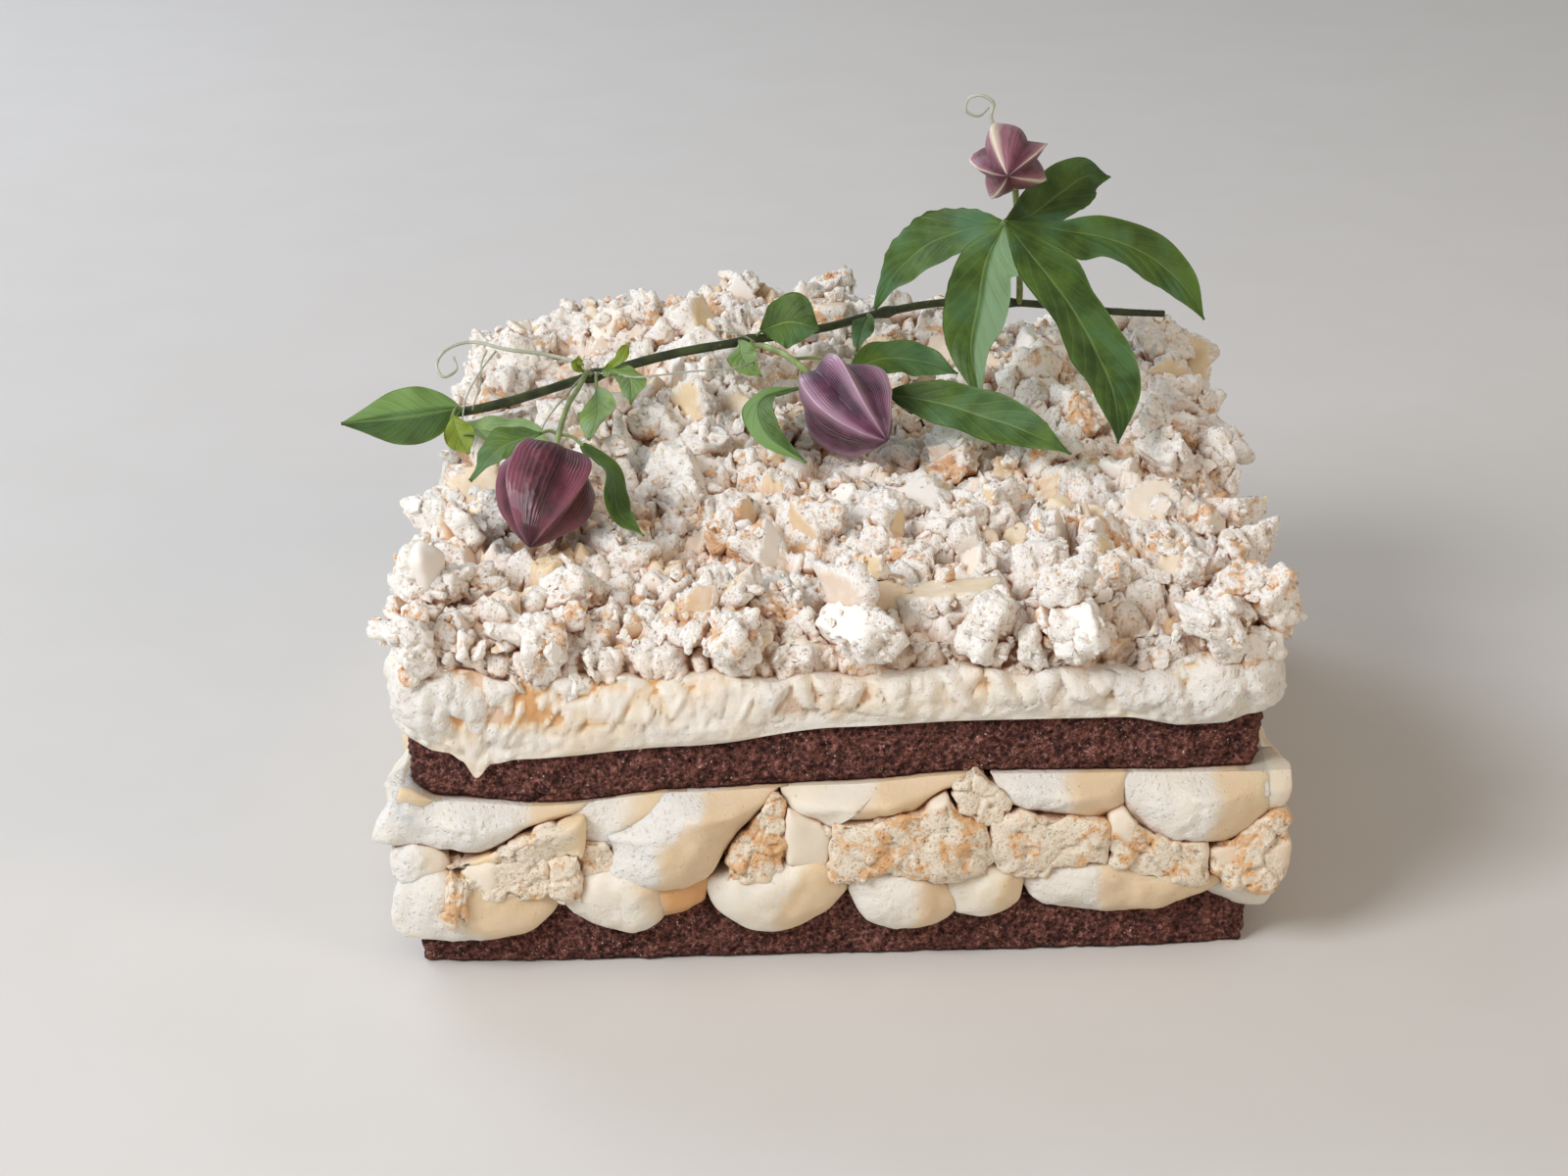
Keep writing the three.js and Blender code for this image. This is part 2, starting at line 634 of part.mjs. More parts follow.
const towardsViewer = [0, -0.8, 0.6];
const leaves = [
  {
    name: 'leaf_left_end',
    colour: 'leaf',
    points: [[-97, 9, 97], [-110, 5, 96], [-127, 2, 95]],
    face: [0, -0.95, 0.3],
    width: 17,
    steps: 6,
    fold: -0.5,
  },
  {
    name: 'leaf_left_low',
    colour: 'leaf',
    points: [[-99, 9, 91], [-90, -3, 95.2], [-79, -14, 97], [-71, -20, 96.4]],
    face: [0.1, -0.4, 0.9],
    width: 13,
    steps: 5,
  },
  {
    name: 'leaf_pale',
    colour: 'paleLeaf',
    points: [[-62, 10, 101.5], [-60.5, -6, 100], [-62, -22, 99.5]],
    face: [-0.4, -0.5, 0.8],
    width: 10,
    steps: 5,
    columns: 2,
  },
  {
    name: 'leaflet_left',
    colour: 'paleLeaf',
    points: [[-61, 23.5, 102.5], [-54, 15, 103], [-53, 4, 100]],
    face: [0.3, -0.5, 0.8],
    width: 9,
    steps: 5,
    columns: 2,
  },
  {
    name: 'bract_left',
    colour: 'leaf',
    points: [[-72, -42.5, 108.5], [-82, -44, 104.5], [-89, -48, 98]],
    face: [-0.4, -0.4, 0.8],
    width: 11,
    steps: 5,
    columns: 2,
  },
  {
    name: 'bract_right',
    colour: 'leaf',
    points: [[-62, -44, 106], [-54.5, -54, 102], [-52.5, -64, 96], [-46, -70, 92.6]],
    face: [0.7, -0.5, 0.5],
    width: 9,
    steps: 6,
    columns: 2,
  },
  {
    name: 'leaf_round',
    colour: 'leaf',
    points: [[-20.5, 40.5, 108], [-13, 39, 110.8], [-5, 37, 109.5]],
    face: towardsViewer,
    width: 16,
    steps: 6,
    widest: 0.55,
  },
  {
    name: 'leaflet_middle',
    colour: 'paleLeaf',
    points: [[-26, 37.5, 105.5], [-24.5, 28, 104], [-20, 19, 102.6]],
    face: [-0.4, -0.5, 0.8],
    width: 8,
    steps: 5,
    columns: 2,
  },
  {
    name: 'leaf_small',
    colour: 'leaf',
    points: [[8, 58.5, 106.6], [6.4, 48, 105.6], [4.8, 36, 103.8]],
    face: towardsViewer,
    width: 6,
    steps: 5,
    columns: 2,
  },
  {
    name: 'bract_middle',
    colour: 'leaf',
    points: [[-9, 6.5, 104], [-19, 0, 102.5], [-17, -16, 99], [-8, -27, 95.6]],
    face: [-0.6, -0.4, 0.7],
    width: 9,
    steps: 6,
    columns: 2,
  },
  {
    name: 'leaf_upper',
    colour: 'leaf',
    points: [[3, 14, 106], [12, 20, 107], [22, 22, 105.5], [31, 19, 103.5]],
    face: [0.1, -0.6, 0.8],
    width: 12,
    steps: 6,
  },
  {
    name: 'leaf_long',
    colour: 'leaf',
    points: [[13, 3, 103.5], [25, -2, 102.5], [37, -8, 101], [48, -15, 99.2], [57.5, -25, 97.4]],
    face: [0, -0.65, 0.75],
    width: 15,
    steps: 7,
  },
];

// The five-lobed leaf stands on its stalk, and its lobes droop to the heap.
const lobedLeaf = {
  name: 'leaf_five_lobed',
  colour: 'leaf',
  shape: { steps: 5, columns: 2, widest: 0.52, baseWidth: 0.75 },
  lobes: [
    {
      points: [[44, 41, 137.5], [34, 46, 134.5], [23, 50, 128.5], [15, 53, 120], [9.8, 55, 109.5]],
      width: 15.5,
      face: [-0.45, -0.65, 0.6],
    },
    {
      points: [[43.5, 40, 138], [38.5, 34, 130.2], [36, 24, 120.8], [34, 15, 111.5], [36.2, 5, 101]],
      width: 17,
      face: [-0.15, -0.85, 0.5],
    },
    {
      points: [
        [43, 40, 138], [51, 33, 129.5], [61, 20, 119], [67.5, 4, 109.5], [69.5, -8, 104.3], [69.4, -21, 99],
      ],
      width: 19,
      face: [0.35, -0.7, 0.6],
    },
    {
      points: [
        [43, 41, 138], [58, 45, 134.5], [72, 48, 131], [84, 50, 124.5], [92, 49, 117], [97, 47, 109.5],
      ],
      width: 14,
      face: [0.3, -0.75, 0.6],
    },
    {
      points: [[43, 41, 138], [50, 51, 136.6], [59, 61.5, 140], [66, 70, 142], [73, 76, 140.5]],
      width: 15,
      face: [0.1, -0.8, 0.6],
    },
  ],
};

// ---- The part ----

function material(name, roughness) {
  return new THREE.MeshStandardMaterial({ color: colours[name], roughness, metalness: 0 });
}

function addMesh(group, name, geometry, look) {
  const mesh = new THREE.Mesh(geometry, look);
  mesh.name = name;
  group.add(mesh);
  return mesh;
}

function buildLayers(group) {
  const lowerSponge = spongeLayer(7, -1, () => 0, (x, y) => layerHeight(lowerSpongeTop, x, y));
  const upperSponge = spongeLayer(
    19,
    0,
    (x, y) => layerHeight(upperSpongeBottom, x, y),
    (x, y) => layerHeight(upperSpongeTop, x, y),
  );
  const lowerRoom = spongeRoom(lowerSponge);
  const upperRoom = spongeRoom(upperSponge);

  const random = randomFrom(23);
  const otherSides = sides.slice(1);
  const lowerRows = [lowerDollops, ...otherSides.map((side) => dollopRow(side, random, hiddenRows.lower))];
  const upperRows = [upperDollops, ...otherSides.map((side) => dollopRow(side, random, hiddenRows.upper))];
  const swooshSize = [
    swoosh.along - swoosh.length / 2,
    swoosh.along + swoosh.length / 2,
    swoosh.height - swoosh.thickness / 2,
    swoosh.height + swoosh.thickness / 2,
  ];

  const fillingBody = (grow) => fused([
    solidOf(fillingCore(grow)),
    ...fillingPieces.map((size, k) => solidOf(fillingPiece(sides[0], { size, seed: 100 + k }, grow))),
  ]);
  const filling = fillingBody(0).subtract(lowerRoom).subtract(upperRoom);
  const fillingRoom = fillingBody(2 * gap);

  const lowerCream = creamBody(
    lowerRows,
    [],
    (x, y) => lowerSponge.high(x, y) - bedOverlap,
    () => creamBed.lowTop,
  ).subtract(lowerRoom).subtract(fillingRoom);
  const lowerFrontRoom = fused([
    solidOf(bed(() => 0, () => creamBed.lowTop + gap, gap - creamBed.inset)),
    ...lowerDollops.map((size) => solidOf(dollop(sides[0], size, 0, gap))),
  ]);
  const upperCream = creamBody(
    upperRows,
    [solidOf(dollop(sides[0], swooshSize, swoosh.angle))],
    () => creamBed.highBottom,
    (x, y) => upperSponge.low(x, y) + bedOverlap,
  ).subtract(upperRoom).subtract(fillingRoom).subtract(lowerFrontRoom);

  addMesh(group, 'sponge_lower', spongeBody(lowerSponge), material('sponge', 0.95));
  addMesh(group, 'cream_lower', geometryOf(mainPiece(lowerCream)), material('cream', 0.45));
  addMesh(group, 'filling_meringue', geometryOf(mainPiece(filling)), material('meringue', 0.8));
  addMesh(group, 'cream_upper', geometryOf(mainPiece(upperCream)), material('cream', 0.45));
  addMesh(group, 'sponge_upper', spongeBody(upperSponge), material('sponge', 0.95));
  addMesh(group, 'cream_top', topCreamBody(), material('cream', 0.45));
}

function buildVine(group) {
  addMesh(group, 'stem', tube(vine.stem.points, vine.stem.radius, 6, 22), material('stem', 0.6));
  vine.stalks.forEach((stalk) => {
    addMesh(group, stalk.name, tube(stalk.points, stalk.radius, 5, 7), material('tendril', 0.55));
  });
  vine.tendrils.forEach((tendril) => {
    const { name, points, radius, steps } = tendril;
    addMesh(group, name, tube(points, radius, 4, steps), material('tendril', 0.55));
  });
  vine.buds.forEach((one) => {
    const base = new THREE.Vector3(...one.base);
    const axis = new THREE.Vector3(...one.tip).sub(base);
    const length = axis.length();
    const mesh = addMesh(group, one.name, bud(length, one.radius, one.twist), material('bud', 0.5));
    mesh.position.copy(base);
    mesh.quaternion.setFromUnitVectors(new THREE.Vector3(0, 0, 1), axis.normalize());
    mesh.rotateZ(one.roll);
  });
  leaves.forEach((one) => addMesh(group, one.name, leaf(one), material(one.colour, 0.5)));
  const lobes = lobedLeaf.lobes.map((lobe) => solidOf(leaf({ ...lobedLeaf.shape, ...lobe })));
  addMesh(group, lobedLeaf.name, geometryOf(mainPiece(fused(lobes))), material(lobedLeaf.colour, 0.5));
}

// Points of the vine that the heap's pieces keep clear of.
function vinePoints(group) {
  group.updateMatrixWorld(true);
  return group.children.flatMap((mesh) => {
    const position = mesh.geometry.attributes.position;
    return Array.from({ length: position.count }, (_, k) => (
      new THREE.Vector3().fromBufferAttribute(position, k).applyMatrix4(mesh.matrixWorld)
    ));
  });
}

function buildHeap(group, clearOf) {
  const random = randomFrom(heap.seed + 1);
  const solids = [solidOf(heapCore())];
  heapPieces().forEach((piece) => {
    const geometry = heapPieceGeometry(piece, random);
    const middle = new THREE.Vector3(piece.x, piece.y, piece.z);
    const room = piece.size * vineClearance + 1;
    if (clearOf.every((point) => point.distanceTo(middle) > room)) solids.push(solidOf(geometry));
  });
  const heapSolid = fused(solids).subtract(solidOf(topCreamBody(1.5 * gap)));
  addMesh(group, 'meringue_heap', geometryOf(mainPiece(heapSolid)), material('meringue', 0.8));
}

const cake = new THREE.Group();
const layers = new THREE.Group();
const garnish = new THREE.Group();
cake.add(layers, garnish);
buildLayers(layers);
buildVine(garnish);
buildHeap(layers, vinePoints(garnish));

export default cake;
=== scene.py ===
import math

import bmesh
import bpy
import numpy as np
from mathutils import Matrix, Vector
from mathutils.bvhtree import BVHTree


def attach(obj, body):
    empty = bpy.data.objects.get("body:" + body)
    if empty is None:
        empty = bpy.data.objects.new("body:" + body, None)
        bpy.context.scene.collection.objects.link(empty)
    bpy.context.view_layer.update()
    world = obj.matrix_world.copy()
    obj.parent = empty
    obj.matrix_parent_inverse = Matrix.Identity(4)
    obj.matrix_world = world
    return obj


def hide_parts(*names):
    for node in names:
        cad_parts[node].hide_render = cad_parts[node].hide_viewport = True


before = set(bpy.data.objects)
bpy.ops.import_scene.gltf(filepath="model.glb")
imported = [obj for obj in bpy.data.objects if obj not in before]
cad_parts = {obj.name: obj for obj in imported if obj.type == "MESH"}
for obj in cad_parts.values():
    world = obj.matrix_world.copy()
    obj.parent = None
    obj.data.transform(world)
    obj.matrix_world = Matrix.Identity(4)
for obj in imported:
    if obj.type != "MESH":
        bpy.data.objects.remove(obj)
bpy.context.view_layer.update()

# Meringue layer cake: chocolate sponges, cream, broken meringue and a sprig of flowering vine.
# Shapes are worked out in millimetres and turned to metres as each mesh is made.

toMetres = 0.001

cake = {
    "width": 200.0,
    "depth": 212.0,
    "frontSkew": 0.067,  # the front stands nearer on the left
    "cornerPull": 0.02,
    "settling": 0.5,  # how much of the front's unevenness is gone at the back
    "rippleHeight": 0.8,
    "rippleX": 0.047,
    "rippleY": 0.061,
}
halfWidth = cake["width"] / 2
backY = cake["depth"] / 2

# Edges of the layers along the front, as (x, z).
lowerSpongeTop = [(-100, 15.2), (-31, 15.4), (2, 17.6), (43, 17.3), (100, 15.4)]
upperSpongeBottom = [(-100, 47.6), (-92, 43.6), (-67, 41.8), (-35, 44.5), (1, 45.6), (30, 47.4), (100, 46.6)]
upperSpongeTop = [(-100, 61.6), (-92, 58.4), (-75, 55.6), (-35, 58.2), (1, 62), (30, 63), (100, 62.6)]
topCreamTop = [(-100, 75), (-70, 71.5), (-10, 71), (60, 71.5), (100, 74)]
topCreamDrop = [
    (-100, 1.2), (-89, 2.6), (-86, 4), (-83, 7.6), (-79, 3), (-74, 1.7),
    (40, 1.6), (66, 1.4), (80, 3.6), (89, 3.4), (95, 1.6), (100, 1.2),
]


# Numbers and noise

def randomFrom(seed):
    state = [seed]

    def draw():
        state[0] = (state[0] * 1664525 + 1013904223) % 4294967296
        return state[0] / 4294967296
    return draw


def cellValue(cell, seed):
    # a fixed number from 0 to 1 for every whole-numbered cell
    mixed = (cell[:, 0] * 73856093) ^ (cell[:, 1] * 19349663) ^ (cell[:, 2] * 83492791) ^ (seed * 374761393)
    mixed = mixed & 0xffffffff
    mixed = ((mixed ^ (mixed >> 13)) * 1274126177) & 0xffffffff
    return ((mixed ^ (mixed >> 16)) & 0xffff) / 65535


def softNoise(points, size, seed=0):
    # from -1 to 1
    scaled = points / size
    base = np.floor(scaled).astype(np.int64)
    part = scaled - base
    part = part * part * (3 - 2 * part)
    total = np.zeros(len(points))
    for corner in np.ndindex(2, 2, 2):
        weight = np.prod(np.where(corner, part, 1 - part), axis=1)
        total += weight * cellValue(base + np.array(corner), seed)
    return 2 * total - 1


def layeredNoise(points, size, layers=3, seed=0):
    return sum(softNoise(points, size / 2 ** k, seed + 7 * k) * 0.5 ** k for k in range(layers))


def lumpNoise(points, size, seed=0):
    # 1 in the middle of a lump, near 0 in the seams between lumps
    scaled = points / size
    base = np.floor(scaled).astype(np.int64)
    nearest = np.full(len(points), 9.0)
    for step in np.ndindex(3, 3, 3):
        cell = base + np.array(step) - 1
        centre = cell + np.stack([cellValue(cell, seed + k) for k in (1, 2, 3)], axis=1)
        nearest = np.minimum(nearest, ((scaled - centre) ** 2).sum(axis=1))
    return 1 - np.sqrt(nearest)


def brokenNoise(points, size, seed=0):
    # flat chips that each stand at their own height and slant, with a crevice between them
    scaled = points / size
    base = np.floor(scaled).astype(np.int64)
    near = np.full(len(points), 9.0)
    second = near.copy()
    best = base.copy()
    for step in np.ndindex(3, 3, 3):
        cell = base + np.array(step) - 1
        centre = cell + np.stack([cellValue(cell, seed + k) for k in (1, 2, 3)], axis=1)
        away = ((scaled - centre) ** 2).sum(axis=1)
        closer = away < near
        second = np.where(closer, near, np.minimum(second, away))
        near = np.where(closer, away, near)
        best[closer] = cell[closer]
    centre = best + np.stack([cellValue(best, seed + k) for k in (1, 2, 3)], axis=1)
    slant = np.stack([cellValue(best, seed + k) for k in (5, 6, 7)], axis=1) - 0.5
    height = cellValue(best, seed + 4) - 0.5 + 1.3 * ((scaled - centre) * slant).sum(axis=1)
    edge = blendFrom(0.16, 0.0, np.sqrt(second) - np.sqrt(near))
    return height - 0.35 * edge, cellValue(best, seed + 8)


def blendFrom(start, end, value):
    share = np.clip((value - start) / (end - start), 0, 1)
    return share * share * (3 - 2 * share)


def lineAt(line, x):
    # height of an edge line, eased between its points
    xs = np.array([point[0] for point in line], float)
    zs = np.array([point[1] for point in line], float)
    x = np.clip(np.asarray(x, float), xs[0], xs[-1])
    place = np.clip(np.searchsorted(xs, x, side="left"), 1, len(xs) - 1)
    return zs[place - 1] + (zs[place] - zs[place - 1]) * blendFrom(xs[place - 1], xs[place], x)


def frontY(x):
    return -backY + cake["frontSkew"] * x


def layerHeight(line, x, y):
    # an edge line settles towards its mean height on the way to the back
    back = np.clip((y + backY) / cake["depth"], 0, 1)
    mean = sum(point[1] for point in line) / len(line)
    ripple = cake["rippleHeight"] * back * np.sin(x * cake["rippleX"] + y * cake["rippleY"])
    return lineAt(line, x) + (mean - lineAt(line, x)) * cake["settling"] * back + ripple


def planPoint(u, v):
    x = u * (1 - cake["cornerPull"] * v ** 8) * halfWidth
    across = (v * (1 - cake["cornerPull"] * u ** 8) + 1) / 2
    front = frontY(x)
    return x, front + (backY - front) * across


def cakeEdge(perSide, rounds):
    # the plan's edge from the front's left corner, anticlockwise, with its outward directions
    along = -1 + 2 * np.arange(perSide) / perSide
    one = np.ones(perSide)
    x, y = planPoint(np.concatenate([along, one, -along, -one]), np.concatenate([-one, along, one, -along]))
    edge = np.stack([x, y], axis=1)
    for _ in range(rounds):  # eases the corners
        edge = (np.roll(edge, 1, axis=0) + 2 * edge + np.roll(edge, -1, axis=0)) / 4
    way = np.roll(edge, -1, axis=0) - np.roll(edge, 1, axis=0)
    outward = np.stack([way[:, 1], -way[:, 0]], axis=1)
    return edge, outward / np.linalg.norm(outward, axis=1, keepdims=True)


def sidePlaces():
    # the four sides seen from outside: x runs along, y goes inwards
    def middleOf(x):
        return x, (backY + frontY(x)) / 2

    def halfAt(x):
        return (backY - frontY(x)) / 2
    rows = [
        (math.atan(cake["frontSkew"]), (0, -backY), halfWidth),
        (math.pi / 2, middleOf(halfWidth), halfAt(halfWidth)),
        (math.pi, (0, backY), halfWidth),
        (-math.pi / 2, middleOf(-halfWidth), halfAt(-halfWidth)),
    ]
    return [{"turn": turn, "middle": middle, "half": half} for turn, middle, half in rows]


cakeSides = sidePlaces()


def fromSide(side, points):
    # points given along a side, as (along, inwards, z), to cake coordinates
    cosine, sine = math.cos(side["turn"]), math.sin(side["turn"])
    x = side["middle"][0] + cosine * points[:, 0] - sine * points[:, 1]
    y = side["middle"][1] + sine * points[:, 0] + cosine * points[:, 1]
    return np.stack([x, y, points[:, 2]], axis=1)


def alongSide(side, flat):
    # where cake coordinates lie along a side and how far in from it
    cosine, sine = math.cos(side["turn"]), math.sin(side["turn"])
    x, y = flat[:, 0] - side["middle"][0], flat[:, 1] - side["middle"][1]
    return cosine * x + sine * y, cosine * y - sine * x


# Meshes

def gridFaces(rows, columns, closed):
    wide = columns if closed else columns - 1
    row, column = np.meshgrid(np.arange(rows - 1), np.arange(wide), indexing="ij")
    row, column = row.ravel(), column.ravel()
    after = (column + 1) % columns
    return np.stack([
        row * columns + column, row * columns + after,
        (row + 1) * columns + after, (row + 1) * columns + column,
    ], axis=1)


def fanFaces(first, count, middle, outwards):
    here = first + np.arange(count)
    after = first + (np.arange(count) + 1) % count
    pair = (here, after) if outwards else (after, here)
    return np.stack([*pair, np.full(count, middle)], axis=1)


def closedFaces(rows, columns):
    # rings joined to a tube, with a fan at each end whose middle is one of the last two points
    return [
        gridFaces(rows, columns, True),
        fanFaces(0, columns, rows * columns, False),
        fanFaces((rows - 1) * columns, columns, rows * columns + 1, True),
    ]


class Shape:
    # points, faces and named values, gathered before they become one mesh
    def __init__(self, valueNames=()):
        self.points, self.faces, self.count = [], [], 0
        self.values = {name: [] for name in valueNames}

    def add(self, points, faces, **values):
        for block in faces:
            self.faces.append(np.asarray(block) + self.count)
        self.points.append(points)
        for name, gathered in self.values.items():
            gathered.append(np.broadcast_to(values.get(name, 0.0), len(points)))
        self.count += len(points)

    def piece(self, name, material, slot, replaced=(), smooth=True):
        mesh = bpy.data.meshes.new(name)
        points = np.concatenate(self.points) * toMetres
        mesh.vertices.add(len(points))
        mesh.vertices.foreach_set("co", points.astype(np.float32).ravel())
        sizes = np.concatenate([np.full(len(block), block.shape[1]) for block in self.faces])
        corners = np.concatenate([block.ravel() for block in self.faces])
        mesh.loops.add(len(corners))
        mesh.loops.foreach_set("vertex_index", corners.astype(np.int32))
        mesh.polygons.add(len(sizes))
        mesh.polygons.foreach_set("loop_start", (np.cumsum(sizes) - sizes).astype(np.int32))
        mesh.polygons.foreach_set("use_smooth", np.full(len(sizes), smooth))
        for valueName, gathered in self.values.items():
            attribute = mesh.attributes.new(valueName, "FLOAT", "POINT")
            attribute.data.foreach_set("value", np.concatenate(gathered).astype(np.float32))
        mesh.update(calc_edges=True)
        mesh.validate()
        mesh.materials.append(material)
        made = bpy.data.objects.new(name, mesh)
        bpy.context.scene.collection.objects.link(made)
        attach(made, "root")
        if replaced:
            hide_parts(*replaced)
        print(f"{name}: {int((sizes - 2).sum())} triangles")
        return made


ballsMade = {}


def evenBall(count):
    # evenly spread directions and the triangles between them
    if count not in ballsMade:
        k = np.arange(count) + 0.5
        z = 1 - 2 * k / count
        angle = k * math.pi * (3 - math.sqrt(5))
        flat = np.sqrt(1 - z * z)
        directions = np.stack([flat * np.cos(angle), flat * np.sin(angle), z], axis=1)
        hull = bmesh.new()
        for direction in directions:
            hull.verts.new(direction)
        bmesh.ops.convex_hull(hull, input=hull.verts)
        hull.verts.index_update()
        faces = np.array([[vert.index for vert in face.verts] for face in hull.faces])
        at = np.array([vert.co for vert in hull.verts])
        hull.free()
        a, b, c = at[faces[:, 0]], at[faces[:, 1]], at[faces[:, 2]]
        inside = (np.cross(b - a, c - a) * a).sum(axis=1) < 0
        faces[inside] = faces[inside][:, ::-1]
        ballsMade[count] = (at, faces)
    return ballsMade[count]


def curveAt(points, shares):
    # a smooth curve through the points, at shares of the way from 0 to 1
    points = np.array(points, float)
    first = 2 * points[0] - points[1]
    last = 2 * points[-1] - points[-2]
    spaced = np.concatenate([[first], points, [last]])
    place = np.clip(shares, 0, 1) * (len(points) - 1)
    part = np.minimum(np.floor(place).astype(int), len(points) - 2)
    local = (place - part)[:, None]
    p0, p1, p2, p3 = (spaced[part + k] for k in range(4))
    pairs = ((p0, p1), (p1, p2), (p2, p3))
    gaps = [np.maximum(((q - p) ** 2).sum(axis=1)[:, None] ** 0.25, 1e-3) for p, q in pairs]
    t1 = ((p1 - p0) / gaps[0] - (p2 - p0) / (gaps[0] + gaps[1]) + (p2 - p1) / gaps[1]) * gaps[1]
    t2 = ((p2 - p1) / gaps[1] - (p3 - p1) / (gaps[1] + gaps[2]) + (p3 - p2) / gaps[2]) * gaps[1]
    c2 = 3 * (p2 - p1) - 2 * t1 - t2
    c3 = 2 * (p1 - p2) + t1 + t2
    return p1 + t1 * local + c2 * local ** 2 + c3 * local ** 3


def unit(vectors):
    return vectors / np.maximum(np.linalg.norm(vectors, axis=-1, keepdims=True), 1e-9)


# Node groups and materials

def linear(hexColour):
    parts = [int(hexColour[k:k + 2], 16) / 255 for k in (1, 3, 5)]
    turned = [part / 12.92 if part <= 0.04045 else ((part + 0.055) / 1.055) ** 2.4 for part in parts]
    return (*turned, 1.0)


class NodeBench:
    # short calls for placing and joining nodes in a tree
    def __init__(self, tree):
        self.tree = tree

    def node(self, kind, settings=None, **inputs):
        made = self.tree.nodes.new("ShaderNode" + kind)
        for name, value in (settings or {}).items():
            setattr(made, name, value)
        for name, value in inputs.items():
            numbered = name[0] == "_" and name[1:].isdigit()
            socket = made.inputs[int(name[1:]) if numbered else name.replace("_", " ")]
            self.set(socket, value)
        return made

    def set(self, socket, value):
        if isinstance(value, bpy.types.NodeSocket):
            self.tree.links.new(value, socket)
        else:
            socket.default_value = linear(value) if isinstance(value, str) else value

    def math(self, operation, a, b=0.0, clamp=False):
        made = self.node("Math", {"operation": operation, "use_clamp": clamp}, _0=a, _1=b)
        return made.outputs[0]

    def plus(self, a, b):
        return self.math("ADD", a, b)

    def minus(self, a, b, clamp=False):
        return self.math("SUBTRACT", a, b, clamp)

    def times(self, a, b, clamp=False):
        return self.math("MULTIPLY", a, b, clamp)

    def range(self, value, low, high, toLow=0.0, toHigh=1.0):
        # eased from one span to another
        made = self.node("MapRange", {"interpolation_type": "SMOOTHSTEP"}, Value=value,
                         From_Min=low, From_Max=high, To_Min=toLow, To_Max=toHigh)
        return made.outputs[0]

    def mix(self, share, a, b):
        made = self.node("Mix", {"data_type": "RGBA"})
        self.set(made.inputs[0], share)
        self.set(made.inputs[6], a)
        self.set(made.inputs[7], b)
        return made.outputs[2]

    def coats(self, look, under, rows):
        # colours of the look laid over each other, each by its own share
        colour = look[under] if isinstance(under, str) else under
        for share, name in rows:
            colour = self.mix(share, colour, look[name])
        return colour

    def value(self, name):
        made = self.node("Attribute", {"attribute_type": "GEOMETRY", "attribute_name": name})
        return made.outputs["Fac"]

    def place(self):
        return self.node("TexCoord").outputs["Object"]

    def perMetre(self, size):
        # a texture's scale, from a size in millimetres
        if isinstance(size, bpy.types.NodeSocket):
            return self.math("DIVIDE", 1000.0, size)
        return 1000.0 / size

    def noise(self, place, size, detail=3.0, rough=0.55):
        made = self.node("TexNoise", None, Vector=place, Scale=self.perMetre(size),
                         Detail=detail, Roughness=rough)
        return made.outputs["Fac"]

    def cells(self, place, size, feature="F1"):
        made = self.node("TexVoronoi", {"feature": feature}, Vector=place, Scale=self.perMetre(size))
        return made.outputs["Distance"]


def newGroup(name, inputs, outputs):
    group = bpy.data.node_groups.new(name, "ShaderNodeTree")
    for socketName, kind, default in inputs:
        socket = group.interface.new_socket(socketName, in_out="INPUT", socket_type="NodeSocket" + kind)
        socket.default_value = default
    for socketName, kind in outputs:
        group.interface.new_socket(socketName, in_out="OUTPUT", socket_type="NodeSocket" + kind)
    bench = NodeBench(group)
    entry = group.nodes.new("NodeGroupInput").outputs
    result = group.nodes.new("NodeGroupOutput").inputs
    return group, bench, entry, result


def crumbPoresGroup():
    # open crumb: pits of two sizes and a fine grain
    group, bench, entry, result = newGroup(
        "crumbPores",
        [("Pore Size", "Float", 2.0), ("Pore Share", "Float", 0.4), ("Grain Size", "Float", 0.6)],
        [("Pores", "Float"), ("Grain", "Float"), ("Height", "Float")],
    )
    place = bench.place()
    wide = bench.cells(place, entry["Pore Size"])
    fine = bench.cells(place, bench.times(entry["Pore Size"], 0.42))
    patch = bench.noise(place, bench.times(entry["Pore Size"], 3.1), 2.0)
    reach = bench.times(bench.times(patch, 1.5), entry["Pore Share"])
    widePits = bench.minus(1.0, bench.math("DIVIDE", wide, reach, True), True)
    finePits = bench.minus(1.0, bench.math("DIVIDE", fine, reach, True), True)
    grain = bench.noise(place, entry["Grain Size"], 4.0, 0.65)
    pores = bench.math("MAXIMUM", widePits, bench.times(finePits, 0.7))
    height = bench.minus(bench.times(grain, 0.8), pores)
    bench.set(result["Pores"], bench.range(pores, 0.1, 0.75))
    bench.set(result["Grain"], grain)
    bench.set(result["Height"], height)
    return group


def bakedPatchesGroup():
    # where the oven has coloured sugar: broad stains with mottled edges
    group, bench, entry, result = newGroup(
        "bakedPatches",
        [("Patch Size", "Float", 9.0), ("Share", "Float", 0.4)],
        [("Stain", "Float"), ("Spots", "Float")],
    )
    place = bench.place()
    broad = bench.noise(place, entry["Patch Size"], 3.0, 0.6)
    spots = bench.noise(place, bench.times(entry["Patch Size"], 0.28), 3.0, 0.6)
    mixed = bench.plus(bench.times(broad, 0.7), bench.times(spots, 0.3))
    edge = bench.minus(0.72, bench.times(entry["Share"], 0.4))
    bench.set(result["Stain"], bench.range(bench.minus(mixed, edge), 0.0, 0.1))
    bench.set(result["Spots"], bench.range(spots, 0.6, 0.72))
    return group


